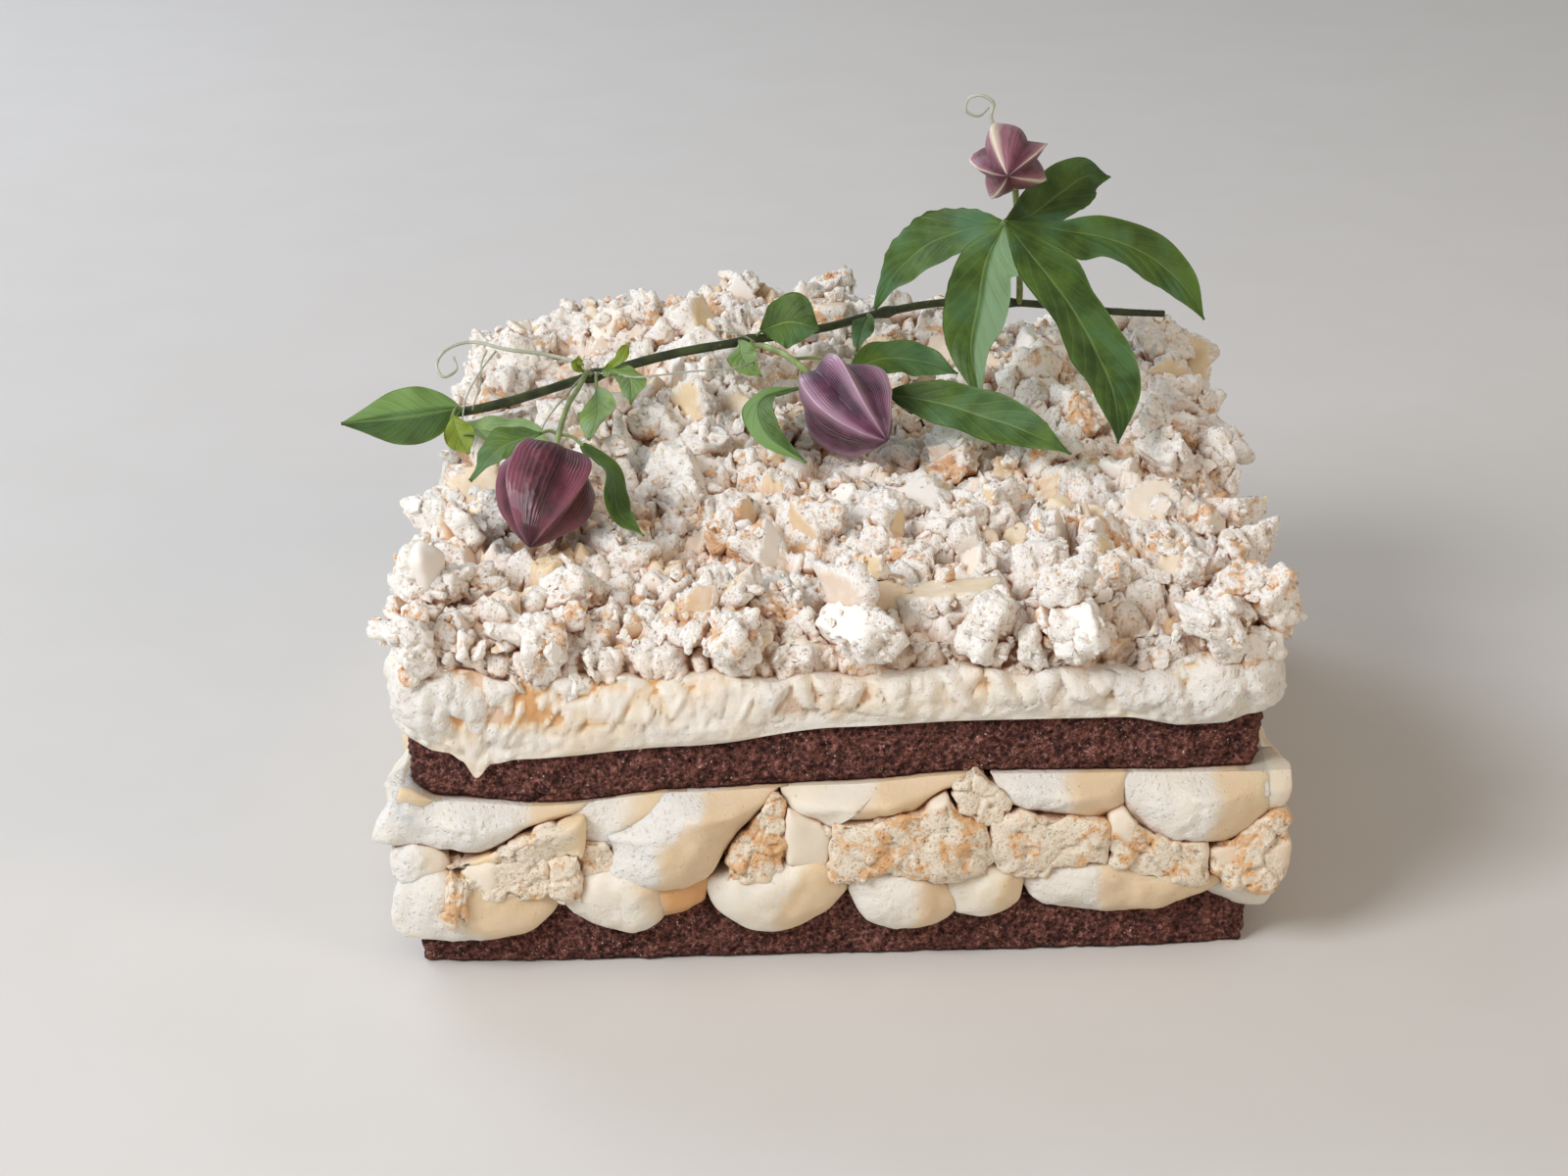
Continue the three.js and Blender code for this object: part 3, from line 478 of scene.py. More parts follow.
def creviceGroup():
    # how far a spot is shut in by what is round it, from ambient occlusion; the materials paint shade into
    # crevices with it
    group, bench, entry, result = newGroup(
        "crevice",
        [("Reach", "Float", 2.0), ("Gain", "Float", 1.0)],
        [("Depth", "Float")],
    )
    shut = bench.node("AmbientOcclusion", {"samples": 4})
    bench.set(shut.inputs["Distance"], bench.times(entry["Reach"], toMetres))
    closed = bench.minus(1.0, shut.outputs["AO"])
    bench.set(result["Depth"], bench.times(bench.range(closed, 0.25, 0.95), entry["Gain"], True))
    return group


def leafVeinsGroup():
    # midrib and side veins, from the values "along" and "across" that every leaf carries
    group, bench, entry, result = newGroup(
        "leafVeins",
        [("Pairs", "Float", 8.0), ("Width", "Float", 0.1), ("Slant", "Float", 0.35)],
        [("Midrib", "Float"), ("Veins", "Float"), ("Height", "Float"), ("Blade", "Float")],
    )
    along = bench.value("along")
    across = bench.math("ABSOLUTE", bench.value("across"))
    place = bench.place()
    wander = bench.times(bench.minus(bench.noise(place, 7.0, 2.0), 0.5), 0.05)
    bent = bench.minus(along, bench.times(bench.math("POWER", across, 0.8), entry["Slant"]))
    wave = bench.math("FRACT", bench.times(bench.plus(bent, wander), entry["Pairs"]))
    toVein = bench.math("ABSOLUTE", bench.minus(wave, 0.5))
    veins = bench.minus(1.0, bench.range(toVein, 0.0, entry["Width"]))
    midrib = bench.minus(1.0, bench.range(across, 0.02, 0.075))
    net = bench.cells(place, 1.3, "DISTANCE_TO_EDGE")
    netLines = bench.minus(1.0, bench.range(net, 0.0, 0.12))
    strong = bench.math("MAXIMUM", midrib, bench.times(veins, 0.6))
    height = bench.minus(bench.times(netLines, -0.12), strong)
    bench.set(result["Midrib"], midrib)
    bench.set(result["Veins"], veins)
    bench.set(result["Height"], height)
    bench.set(result["Blade"], bench.noise(place, 11.0, 4.0, 0.6))
    return group


groups = {
    "crumbPores": crumbPoresGroup(),
    "bakedPatches": bakedPatchesGroup(),
    "crevice": creviceGroup(),
    "leafVeins": leafVeinsGroup(),
}


def newMaterial(name, roughness, specular=0.5, subsurface=0.0, subsurfaceSize=2.0, sheen=0.0, coat=0.0):
    material = bpy.data.materials.new(name)
    material.use_nodes = True
    bench = NodeBench(material.node_tree)
    shader = material.node_tree.nodes["Principled BSDF"]
    shader.inputs["Roughness"].default_value = roughness
    shader.inputs["Specular IOR Level"].default_value = specular
    shader.inputs["Subsurface Weight"].default_value = subsurface
    shader.inputs["Subsurface Scale"].default_value = subsurfaceSize * toMetres
    shader.inputs["Subsurface Radius"].default_value = (1.0, 0.7, 0.45)
    shader.inputs["Sheen Weight"].default_value = sheen
    shader.inputs["Coat Weight"].default_value = coat
    return material, bench, shader


def placeGroup(bench, name, **values):
    made = bench.node("Group")
    made.node_tree = groups[name]
    for key, value in values.items():
        bench.set(made.inputs[key.replace("_", " ")], value)
    return made.outputs


def dressed(material, bench, shader, colour, height, depth, roughness=None):
    # the colour, a bump of a depth in millimetres and, where it varies, the roughness
    bench.set(shader.inputs["Base Color"], colour)
    if roughness is not None:
        bench.set(shader.inputs["Roughness"], roughness)
    bump = bench.node("Bump", None, Strength=1.0, Distance=depth * toMetres, Height=height)
    bench.set(shader.inputs["Normal"], bump.outputs["Normal"])
    return material


def spongeMaterial():
    look = {"crumb": "#774a40", "dark": "#4b2a24", "deep": "#260f0e", "red": "#a87267", "fleck": "#dccabc"}
    material, bench, shader = newMaterial("chocolateCrumb", 0.85, 0.3)
    pores = placeGroup(bench, "crumbPores", Pore_Size=1.7, Pore_Share=0.7, Grain_Size=1.15)
    shut = placeGroup(bench, "crevice", Reach=2.5, Gain=0.7)
    place = bench.place()
    flecks = bench.times(bench.range(bench.noise(place, 0.8, 1.0), 0.7, 0.74),
                         bench.range(bench.noise(place, 13.0, 2.0), 0.42, 0.6))
    # darker in the pores and, through the crevice group, in crevices: painted shade; the grain, red crumb and
    # pale flecks are the crumb's own colour
    colour = bench.coats(look, "dark", [
        (bench.range(bench.noise(place, 3.2, 3.0, 0.7), 0.36, 0.62), "crumb"),
        (bench.range(pores["Grain"], 0.5, 0.66, 0.0, 0.85), "red"),
        (bench.range(pores["Grain"], 0.46, 0.36, 0.0, 0.7), "deep"),
        (bench.times(pores["Pores"], 0.9), "deep"),
        (shut["Depth"], "deep"),
        (flecks, "fleck"),
    ])
    return dressed(material, bench, shader, colour, pores["Height"], 0.8)


def creamMaterial():
    # "dry" cream is white and rough; the tan of the other cream is partly a tone taken up from the meringue's
    # sugar and partly painted shade, on the side of each dollop away from the light and in the grooves under
    # the heap
    look = {"light": "#ebe5d8", "ivory": "#e8dec7", "warm": "#e0bf8d", "dry": "#f0ede6", "shade": "#cf955a",
            "seamShade": "#6a2f1c"}
    material, bench, shader = newMaterial("whippedCream", 0.5, 0.4, 0.3, 1.8)
    place = bench.place()
    dry, warm = bench.value("dry"), bench.value("warm")
    shut = placeGroup(bench, "crevice", Reach=3.6, Gain=1.0)
    seamShade = placeGroup(bench, "crevice", Reach=1.6, Gain=1.0)
    grain = bench.noise(place, 1.4, 5.0, 0.7)
    bubbles = bench.minus(1.0, bench.range(bench.cells(place, 2.4), 0.05, 0.14))
    pits = bench.times(dry, bench.minus(1.0, bench.range(bench.cells(place, 1.5), 0.12, 0.34)))
    # the shade colour on the deepest tan, the shade colour in crevices and the dark seam colour in the
    # tightest crevices are painted shade
    colour = bench.coats(look, "light", [
        (bench.range(bench.noise(place, 15.0, 3.0), 0.35, 0.7), "ivory"),
        (bench.times(warm, 0.92), "warm"),
        (bench.range(warm, 0.7, 1.0, 0.0, 0.75), "shade"),
        (bench.times(dry, 0.85), "dry"),
        (bench.times(shut["Depth"], 0.6), "shade"),
        (bench.times(bench.math("POWER", seamShade["Depth"], 2.0), 0.9), "seamShade"),
    ])
    roughness = bench.plus(bench.range(grain, 0.3, 0.7, 0.4, 0.55), bench.times(dry, 0.3))
    rough = bench.times(grain, bench.plus(0.6, bench.times(dry, 1.3)))
    height = bench.minus(bench.minus(rough, bench.times(bubbles, 0.4)), bench.times(pits, 0.8))
    return dressed(material, bench, shader, colour, height, 0.42, roughness)


def meringueMaterial(name, look, patchShare):
    # smooth baked shell where "shell" is 1, porous broken inside where it is 0
    material, bench, shader = newMaterial(name, 0.8, 0.2, 0.2, 1.2)
    place = bench.place()
    shell, tone, deep = bench.value("shell"), bench.value("tone"), bench.value("deep")
    pores = placeGroup(bench, "crumbPores", Pore_Size=1.3, Pore_Share=0.4, Grain_Size=0.9)
    chance = bench.math("FRACT", bench.times(tone, 7.0))
    share = bench.plus(patchShare - 0.2, bench.times(chance, 0.5))
    stains = placeGroup(bench, "bakedPatches", Patch_Size=6.5, Share=share)
    shut = placeGroup(bench, "crevice", Reach=3.0, Gain=1.0)
    hollow = placeGroup(bench, "crevice", Reach=8.0, Gain=1.0)
    ramp = bench.node("ValToRGB", None, Fac=tone)
    stops = ramp.color_ramp.elements
    stops[0].color = linear(look["white"])
    stops[1].position, stops[1].color = 1.0, linear(look["tan"])
    for position, colourName in ((0.3, "white"), (0.45, "ivory"), (0.62, "pink"), (0.8, "yellow")):
        stop = stops.new(position)
        stop.color = linear(look[colourName])
    skin = bench.coats(look, ramp.outputs["Color"], [
        (bench.range(bench.noise(place, 4.0, 4.0), 0.4, 0.75, 0.0, 0.4), "white"),
    ])
    inside = bench.coats(look, "inside", [
        (bench.range(pores["Grain"], 0.3, 0.55, 0.45, 1.0), "white"),
        (bench.times(stains["Stain"], 0.75), "caramelAndShade"),
        (bench.times(bench.times(stains["Spots"], stains["Stain"]), 0.8), "toffeeAndShade"),
        (bench.times(pores["Pores"], 0.3), "caramelAndShade"),
    ])
    # caramel by depth and crevice, toffee in the wider hollows and dark in the tightest crevices: painted
    # warm shade; the stains and pore colour inside are the meringue's own
    colour = bench.coats(look, bench.mix(shell, inside, skin), [
        (bench.times(deep, 0.45), "caramelAndShade"),
        (bench.times(shut["Depth"], 0.4), "caramelAndShade"),
        (bench.times(bench.math("POWER", hollow["Depth"], 3.0), 0.6), "toffeeAndShade"),
        (bench.times(bench.math("POWER", shut["Depth"], 6.0), 0.6), "dark"),
    ])
    height = bench.times(pores["Height"], bench.range(shell, 0.0, 1.0, 1.0, 0.1))
    return dressed(material, bench, shader, colour, height, 0.4, bench.range(shell, 0.0, 1.0, 0.9, 0.6))


def leafMaterial(name, look, pairs=8.0):
    material, bench, shader = newMaterial(name, 0.5, 0.25)
    upper = bench.value("upper")
    veins = placeGroup(bench, "leafVeins", Pairs=pairs, Width=0.12, Slant=0.3)
    edge = bench.range(bench.math("ABSOLUTE", bench.value("across")), 0.8, 1.0)
    above = bench.coats(look, "dark", [
        (bench.range(veins["Blade"], 0.35, 0.68), "green"),
        # blue-green patches: painted reflection of the sky
        (bench.range(bench.noise(bench.place(), 15.0, 1.5), 0.46, 0.68, 0.0, 0.5), "paintedSheen"),
        (bench.times(edge, 0.2), "light"),
        (bench.times(veins["Veins"], 0.16), "light"),
        (bench.times(veins["Midrib"], 0.28), "rib"),
    ])
    under = bench.coats(look, "under", [(bench.times(veins["Veins"], 0.3), "rib")])
    # where the upper value is lowered on one half of a blade, the underside colour stands for a painted
    # reflection
    colour = bench.mix(upper, under, above)
    roughness = bench.range(upper, 0.0, 1.0, 0.62, 0.5)
    return dressed(material, bench, shader, colour, veins["Height"], 0.12, roughness)


def budMaterial(name, look):
    material, bench, shader = newMaterial(name, 0.4, 0.4, 0.05, 1.0, 0.05, 0.12)
    place = bench.place()
    rise, ridge, around = bench.value("rise"), bench.value("ridge"), bench.value("around")
    wander = bench.times(bench.minus(bench.noise(place, 3.5, 2.0), 0.5), 0.35)
    lines = bench.math("SINE", bench.plus(bench.times(around, 95.0), bench.times(wander, 18.0)))
    colour = bench.coats(look, "dark", [
        (bench.range(bench.noise(place, 6.0, 3.0), 0.35, 0.7), "purple"),
        (bench.range(lines, 0.1, 1.0, 0.0, 0.26), "lilacAndHighlight"),
        # lighter along the pleat ridges: painted highlight; the fine lines and pale ribs are the bud's own
        (bench.range(ridge, 0.45, 0.95, 0.0, 0.55), "lilacAndHighlight"),
        (bench.range(ridge, 1.0 - look["ribWidth"], 0.99, 0.0, look["ribShare"]), "rib"),
        (bench.range(rise, 0.25, 0.0, 0.0, 0.5), "base"),
        (bench.range(ridge, 0.25, 0.0, 0.0, 0.5), "dark"),
    ])
    roughness = bench.range(bench.noise(place, 4.0, 2.0), 0.3, 0.7, 0.28, 0.55)
    return dressed(material, bench, shader, colour, lines, 0.05, roughness)


def stalkMaterial(name, look):
    material, bench, shader = newMaterial(name, 0.45, 0.45)
    place = bench.place()
    fibres = bench.math("SINE", bench.times(bench.value("around"), 12.0))
    colour = bench.coats(look, "dark", [
        (bench.range(bench.noise(place, 6.0, 3.0), 0.35, 0.7), "green"),
        (bench.range(bench.noise(place, 1.2, 2.0), 0.62, 0.72, 0.0, 0.5), "light"),
        (bench.range(bench.value("along"), 0.035, 0.0), "cut"),
    ])
    return dressed(material, bench, shader, colour, fibres, 0.03)


# caramel and toffee are both baked stains and painted shade in recesses; dark is painted shade alone
meringueLook = {
    "white": "#f8f4ec", "ivory": "#f0e4cf", "pink": "#e4d0bb", "yellow": "#ecd8ad", "tan": "#e2c49c",
    "inside": "#f0e2cc", "caramelAndShade": "#dfa868", "toffeeAndShade": "#bd7438", "dark": "#6b301b",
}
materials = {
    "sponge": spongeMaterial(),
    "cream": creamMaterial(),
    "meringue": meringueMaterial("bakedMeringue", meringueLook, 0.34),
    "filling": meringueMaterial("brokenFilling", {
        **meringueLook, "white": "#ebe0cc", "inside": "#e0c79f"}, 0.52),
    "leaf": leafMaterial("greenLeaf", {
        "dark": "#384f1c", "green": "#56702b", "light": "#7c9846", "rib": "#9bb268", "under": "#7b9c58",
        "paintedSheen": "#5c825a"}),
    "paleLeaf": leafMaterial("youngLeaf", {
        "dark": "#647f3a", "green": "#809a50", "light": "#9cb06e", "rib": "#b3c28c", "under": "#96ac7c",
        "paintedSheen": "#86a278"}, 6.0),
    "yellowLeaf": leafMaterial("yellowLeaf", {
        "dark": "#7d8f33", "green": "#94a63c", "light": "#aab955", "rib": "#bcc877", "under": "#9dad5c",
        "paintedSheen": "#94a650"}, 5.0),
    "lobedLeaf": leafMaterial("lobedLeafGreen", {
        "dark": "#374e1e", "green": "#526d2c", "light": "#729045", "rib": "#90aa62", "under": "#84a27a",
        "paintedSheen": "#55805c"}, 9.0),
    "bud": budMaterial("purpleBud", {
        "dark": "#34121a", "purple": "#6b2f37", "lilacAndHighlight": "#98596b", "rib": "#b48a98", "base": "#6a4648",
        "ribShare": 0.4, "ribWidth": 0.05}),
    "middleBud": budMaterial("plumBud", {
        "dark": "#361027", "purple": "#6e3453", "lilacAndHighlight": "#cba4ba", "rib": "#e4d2dc", "base": "#70506a",
        "ribShare": 0.75, "ribWidth": 0.06}),
    "topBud": budMaterial("mauveBud", {
        "dark": "#5d2632", "purple": "#854858", "lilacAndHighlight": "#b68791", "rib": "#e3d6c0", "base": "#86646a",
        "ribShare": 0.95, "ribWidth": 0.16}),
    "stem": stalkMaterial("vineStem", {
        "dark": "#262f1a", "green": "#434f28", "light": "#70793f", "cut": "#9aa873"}),
    "stalk": stalkMaterial("paleStalk", {
        "dark": "#75864a", "green": "#98a868", "light": "#bcc694", "cut": "#a9bb80"}),
    "tendril": stalkMaterial("tendril", {
        "dark": "#b7bda4", "green": "#d3d7c4", "light": "#e6e8dc", "cut": "#d3d7c4"}),
}
print("materials made")


# Chocolate sponges

spongeShape = {
    "perSide": 300,
    "rows": 25,
    "section": [(0, -0.9), (0.2, 0.0), (0.75, 0.2), (1, -1.4)],
    "waver": 0.6,  # of the cut face, over centimetres
    "crumbSize": 2.3,
    "crumbDepth": 1.5,
    "fineSize": 1.1,
    "fineDepth": 0.55,
    "pitSize": 1.9,
    "pitDepth": 1.0,
    "liftSize": 1.7,
    "liftHeight": 0.5,
    "inner": (-5.0, -16.0, -45.0),  # rings of the hidden faces above and below
}


def spongeLayer(name, node, outset, low, high, seed, raggedFoot=0.0):
    shape = Shape()
    look = spongeShape
    edge, outward = cakeEdge(look["perSide"], 8)
    count = len(edge)
    rows = []
    for rise in np.linspace(0, 1, look["rows"]):
        xs, zs = zip(*look["section"])
        reach = np.full(count, outset + np.interp(rise, xs, zs))
        flat = edge + outward * reach[:, None]
        z0, z1 = low(flat[:, 0], flat[:, 1]), high(flat[:, 0], flat[:, 1])
        place = np.column_stack([flat, z0 + (z1 - z0) * rise])
        crumb = look["waver"] * layeredNoise(place, 11.0, 2, seed)
        crumb += look["crumbDepth"] * (lumpNoise(place, look["crumbSize"], seed + 5) - 0.55)
        crumb += look["fineDepth"] * (lumpNoise(place, look["fineSize"], seed + 9) - 0.5)
        crumb -= look["pitDepth"] * blendFrom(0.45, 0.8, softNoise(place, look["pitSize"], seed + 13))
        crumb += raggedFoot * blendFrom(0.3, 0.0, rise) * layeredNoise(place, 4.0, 2, seed + 3)
        ease = blendFrom(0.0, 0.08, rise) * blendFrom(1.0, 0.94, rise)
        lift = look["liftHeight"] * ease * softNoise(place, look["liftSize"], seed + 21)
        flat = flat + outward * (crumb * (0.35 + 0.65 * ease))[:, None]
        rows.append(np.column_stack([flat, place[:, 2] + lift]))
    inner = [edge + outward * reach for reach in look["inner"]]
    foot = [np.column_stack([flat, low(edge[:, 0], edge[:, 1])]) for flat in inner]
    head = [np.column_stack([flat, high(edge[:, 0], edge[:, 1])]) for flat in inner]
    rings = foot[::-1] + rows + head
    ends = [[[0, 0, float(level(0.0, 0.0))]] for level in (low, high)]
    points = np.concatenate(rings + ends)
    shape.add(points, closedFaces(len(rings), count))
    return shape.piece(name, materials["sponge"], "sponge", (node,))


def cakeFoot(x, _):
    # flat, at height 0
    return np.zeros_like(np.asarray(x, float))


spongeLayer("lowerSponge", "sponge_lower", -1, cakeFoot,
            lambda x, y: layerHeight(lowerSpongeTop, x, y), 7, 0.8)
spongeLayer("upperSponge", "sponge_upper", 0, lambda x, y: layerHeight(upperSpongeBottom, x, y),
            lambda x, y: layerHeight(upperSpongeTop, x, y), 19, 0.5)


# Cream and broken meringue between the sponges

creamBed = {"inset": 9.0, "lowTop": 23.0, "highBottom": 37.0}
pieceGrowth = 0.45  # pieces are pressed against each other
dollopShape = {
    "detail": (26, 9, 88),  # rows of the face, rows of the side, points round it
    "hiddenDetail": (17, 6, 46),
    "depth": 13.0,
    "squareness": 0.92,
    "ridgeRound": 3.0,
    "ridgeReach": 0.8,
    "waver": 1.1,
    "ripple": 0.35,
    "creaseDepth": 0.15,
    "lumpSize": 2.6,
    "lumpDepth": 0.75,
    "fineSize": 1.6,
    "fineDepth": 0.4,
}

# Outlines on the front, as (x, z), measured one by one.
lowerDollops = [
    {"outline": [(-102, 10), (-103, 17), (-101, 23), (-96, 27), (-88, 26), (-77, 24), (-68, 23),
     (-65.5, 19), (-66.5, 15), (-70, 12), (-75, 9.5), (-82, 8), (-91, 8)], "ridge": (-94, -82, 2.2),
     "dry": -0.7, "bulge": 5},
    {"outline": [(-64.5, 20), (-58, 23), (-48, 24), (-40, 22), (-40.5, 13.5), (-43, 10.5), (-49, 9.3),
     (-55, 10.3), (-60, 13), (-63, 16)], "ridge": (-48, -42, 1.2), "dry": -0.2, "bulge": 5},
    {"outline": [(-45, 21), (-38, 24), (-31, 24), (-30.7, 18), (-32, 15.3), (-39, 12.8), (-44, 13)],
     "ridge": (-42, -40, 0.4), "dry": 0, "bulge": 3.6, "warm": 0.8},
    {"outline": [(-30, 22), (-24, 24), (-12, 27), (-2, 27), (2.4, 22), (2.8, 19), (0, 15.5), (-4, 11.7),
     (-10, 8.7), (-16, 7.8), (-21, 9.5), (-27, 13.5), (-30, 18)], "ridge": (-10, -14, 1.6), "dry": 0,
     "bulge": 5},
    {"outline": [(3.2, 21), (6, 25), (14, 27), (22, 25), (26, 20), (27.8, 13.5), (24, 10), (18, 8.3),
     (12, 8.8), (7, 11), (4, 15.5)], "ridge": (18, 18, 2.4), "dry": -0.3, "bulge": 5.2},
    {"outline": [(25.5, 19), (28, 24), (34, 25), (42.6, 24), (43, 17), (41, 14), (37, 12.4), (33, 11.8),
     (29, 12.3), (26.4, 14.8)], "ridge": (40, 36, 1.4), "dry": 0, "bulge": 3.8},
    {"outline": [(43.6, 21), (50, 27), (63, 27), (76, 24), (91, 20), (87.5, 16.3), (82, 14.3), (75, 11.8),
     (68, 11.3), (61, 10.8), (54, 11.8), (48, 13.8), (45, 16.8)], "ridge": (60, 64, 2.2), "dry": -0.6,
     "bulge": 5},
    {"outline": [(84, 21), (88, 26), (96, 27), (101, 24), (102, 20), (98, 17.2), (92, 16.6), (87, 17.4)],
     "ridge": (92, 92, 0.5), "dry": 0, "bulge": 1.5},
    {"outline": [(-103, 30.5), (-98, 32), (-92, 30), (-91, 26), (-95, 24), (-100, 23), (-103, 24.5)],
     "ridge": (-98, -98, 0.5), "dry": -1, "bulge": 3},
]
upperDollops = [
    {"outline": [(-103, 43), (-107, 35.2), (-105, 33), (-96, 31.5), (-85, 31.3), (-79, 31.8), (-72, 36),
     (-60, 39.5), (-57, 46), (-76, 46), (-91, 47), (-99, 50), (-104, 50)], "ridge": (-70, -76, 2.4),
     "dry": -0.8, "bulge": 5},
    {"outline": [(-62, 46), (-50, 48), (-36, 48), (-40, 39.5), (-47, 35.5), (-52, 31), (-56, 29.5),
     (-59, 31.5), (-61, 36.5)], "ridge": (-44, -50, 1.4), "dry": -0.5, "bulge": 1.6},
    {"outline": [(-35, 48.5), (-24, 50), (-12, 50), (-15.5, 43), (-24, 32.5), (-31, 23.3), (-39, 19.8),
     (-47, 19.3), (-53, 19.5), (-54, 25), (-52.5, 30), (-53.5, 34), (-46, 37.5), (-41, 42)], "ridge": (-27,
     -47, 4.2), "dry": -1, "bulge": 6.5},
    {"outline": [(-12.5, 47.5), (0, 49), (12, 49), (22, 50), (30.5, 49.5), (30, 45.8), (24, 42.3),
     (18, 37.8), (12, 36.8), (0, 36.2), (-1.5, 34.2), (-5, 36.3), (-10.5, 39.3)], "ridge": (9, -1, 2.6),
     "dry": 0, "bulge": 5.2},
    {"outline": [(37, 50), (47, 50.5), (66.6, 50.5), (67.2, 43.5), (67, 38), (63, 35.8), (60, 34.3),
     (53, 36.2), (45, 37.8), (40, 40), (38, 43.5)], "ridge": (55, 52, 2.2), "dry": -0.8, "bulge": 4.8},
    {"outline": [(67.8, 50), (74, 50.5), (88, 50), (99, 48.5), (101.5, 41), (101.5, 37), (98.5, 32.8),
     (94, 29.8), (86, 28.8), (78, 29.2), (73, 31.2), (69, 35.2), (67.6, 38.5)], "ridge": (88, 86, 3.2),
     "dry": -0.6, "bulge": 5.6},
    {"outline": [(94, 46), (97, 51), (103, 51), (105.5, 46), (104.5, 39), (100, 36), (96, 38)],
     "ridge": (100, 100, 0.5), "dry": 0, "bulge": 1.5},
]
brokenPieces = [
    # shell: which part of the front is smooth; tone: 0 white, 0.4 ivory, 0.6 pinkish, 0.8 yellow, 1 tan
    {"outline": [(-88, 26.5), (-84, 28), (-77, 29.8), (-69, 29), (-66.5, 25.5), (-66.5, 21.5), (-69, 19.8),
     (-77, 18.8), (-84, 17.3), (-86.5, 16.3), (-88.5, 20.5)], "proud": 5.6, "shell": 0.12, "tone": 0.31,
     "lean": 0.1},
    {"outline": [(-91, 27), (-81, 30.6), (-72, 34.8), (-69, 36.8), (-59, 39), (-58.5, 33.5), (-60, 29),
     (-66, 27.3), (-69, 27.8), (-77, 28.8)], "proud": 4.6, "shell": 0.75, "tone": 0.87, "lean": -0.2},
    {"outline": [(-67.2, 28.3), (-60.5, 29.8), (-60.3, 24.5), (-59.8, 18.2), (-63.8, 17.3), (-66, 19.3),
     (-67, 23)], "proud": 5.6, "shell": 0.3, "tone": 0.62, "lean": 0.15},
    {"outline": [(-15, 43), (-12, 42), (-11.9, 29.5), (-12.8, 23.3), (-16, 21.6), (-22, 20.6), (-26, 22),
     (-26, 27.5), (-23.5, 32.5), (-19, 38)], "proud": 4.2, "shell": 0.1, "tone": 0.68, "lean": 0.1},
    {"outline": [(-11.4, 40), (-6, 37.2), (-0.8, 34.6), (-1.6, 30), (-2.6, 25.6), (-11.2, 26), (-12, 32)],
     "proud": 3.8, "shell": 1, "tone": 0.03, "lean": -0.1},
    {"outline": [(-0.2, 36.6), (12, 37), (19, 39), (25, 42.6), (29.5, 37), (33, 35.2), (36.2, 31), (37, 27),
     (35, 23.2), (31, 21.9), (21, 21.2), (12, 23.6), (4, 20.8), (-0.5, 21.8), (-2.4, 25), (-1.4, 31)],
     "proud": 6, "shell": 0, "tone": 0.37, "lean": 0, "topShell": 2.2},
    {"outline": [(26.5, 42.5), (30, 46.2), (32, 47.5), (37.5, 43.6), (40.8, 39.4), (40.4, 36), (36, 35.2),
     (33, 35.6), (28, 38.5)], "proud": 4, "shell": 0, "tone": 0.15, "lean": 0},
    {"outline": [(35.8, 36.2), (43, 37.8), (56, 36), (63.4, 35.2), (64.3, 30), (63.3, 25), (56, 24.4),
     (50.4, 24), (49.6, 22), (45, 21.2), (38.6, 23), (37, 25.5), (35.8, 29.5)], "proud": 5.4, "shell": 0,
     "tone": 0.05, "lean": -0.05},
    {"outline": [(62.8, 33.5), (64, 36.6), (67, 38.4), (69.4, 35), (72.4, 32), (77.5, 29.6), (87, 30),
     (87.6, 27), (87.4, 19), (82, 18.6), (72, 20.8), (67, 23), (62.8, 24.6)], "proud": 5.2, "shell": 0.1,
     "tone": 0.2, "lean": 0.05},
    {"outline": [(88, 27.4), (91, 28.6), (96, 32), (101, 35.4), (105, 37), (107, 34.6), (105.6, 31.8),
     (106, 27.5), (105.6, 22), (102.6, 17.2), (98, 15.8), (92, 17.6), (88.6, 22)], "proud": 4.8,
     "shell": 0.15, "tone": 0.66, "lean": 0.1},
    {"outline": [(-91.5, 22.5), (-89.5, 27), (-86.3, 24.5), (-85.6, 19), (-86, 15), (-90, 13.8),
     (-91.6, 17)], "proud": 8, "shell": 0, "tone": 0.99, "lean": 0},
    {"outline": [(-60, 31), (-54, 31.5), (-50, 27), (-48, 20), (-52, 17.6), (-58, 17.6), (-60.6, 21.5)],
     "proud": 2.6, "shell": 0.1, "tone": 0.1, "lean": 0},
]


def evenOutline(outline, count, roundness):
    # the outline walked at even steps, crisp at 0 and rounded at 1
    points = np.array(outline, float)
    after = np.roll(points, -1, axis=0)
    if (points[:, 0] * after[:, 1] - after[:, 0] * points[:, 1]).sum() < 0:
        points = points[::-1]
    number = len(points)
    place = np.arange(1200) / 1200 * number
    part = np.floor(place).astype(int)
    local = (place - part)[:, None]
    p0, p1, p2, p3 = (points[(part + k) % number] for k in (-1, 0, 1, 2))
    curve = 0.5 * (2 * p1 + (p2 - p0) * local + (2 * p0 - 5 * p1 + 4 * p2 - p3) * local ** 2
                   + (3 * p1 - p0 - 3 * p2 + p3) * local ** 3)
    walked = p1 + (p2 - p1) * local + roundness * (curve - p1 - (p2 - p1) * local)
    steps = np.linalg.norm(np.roll(walked, -1, axis=0) - walked, axis=1)
    length = np.concatenate([[0], np.cumsum(steps)])
    closed = np.concatenate([walked, walked[:1]])
    wanted = np.arange(count) / count * length[-1]
    return np.column_stack([np.interp(wanted, length, closed[:, k]) for k in (0, 1)])


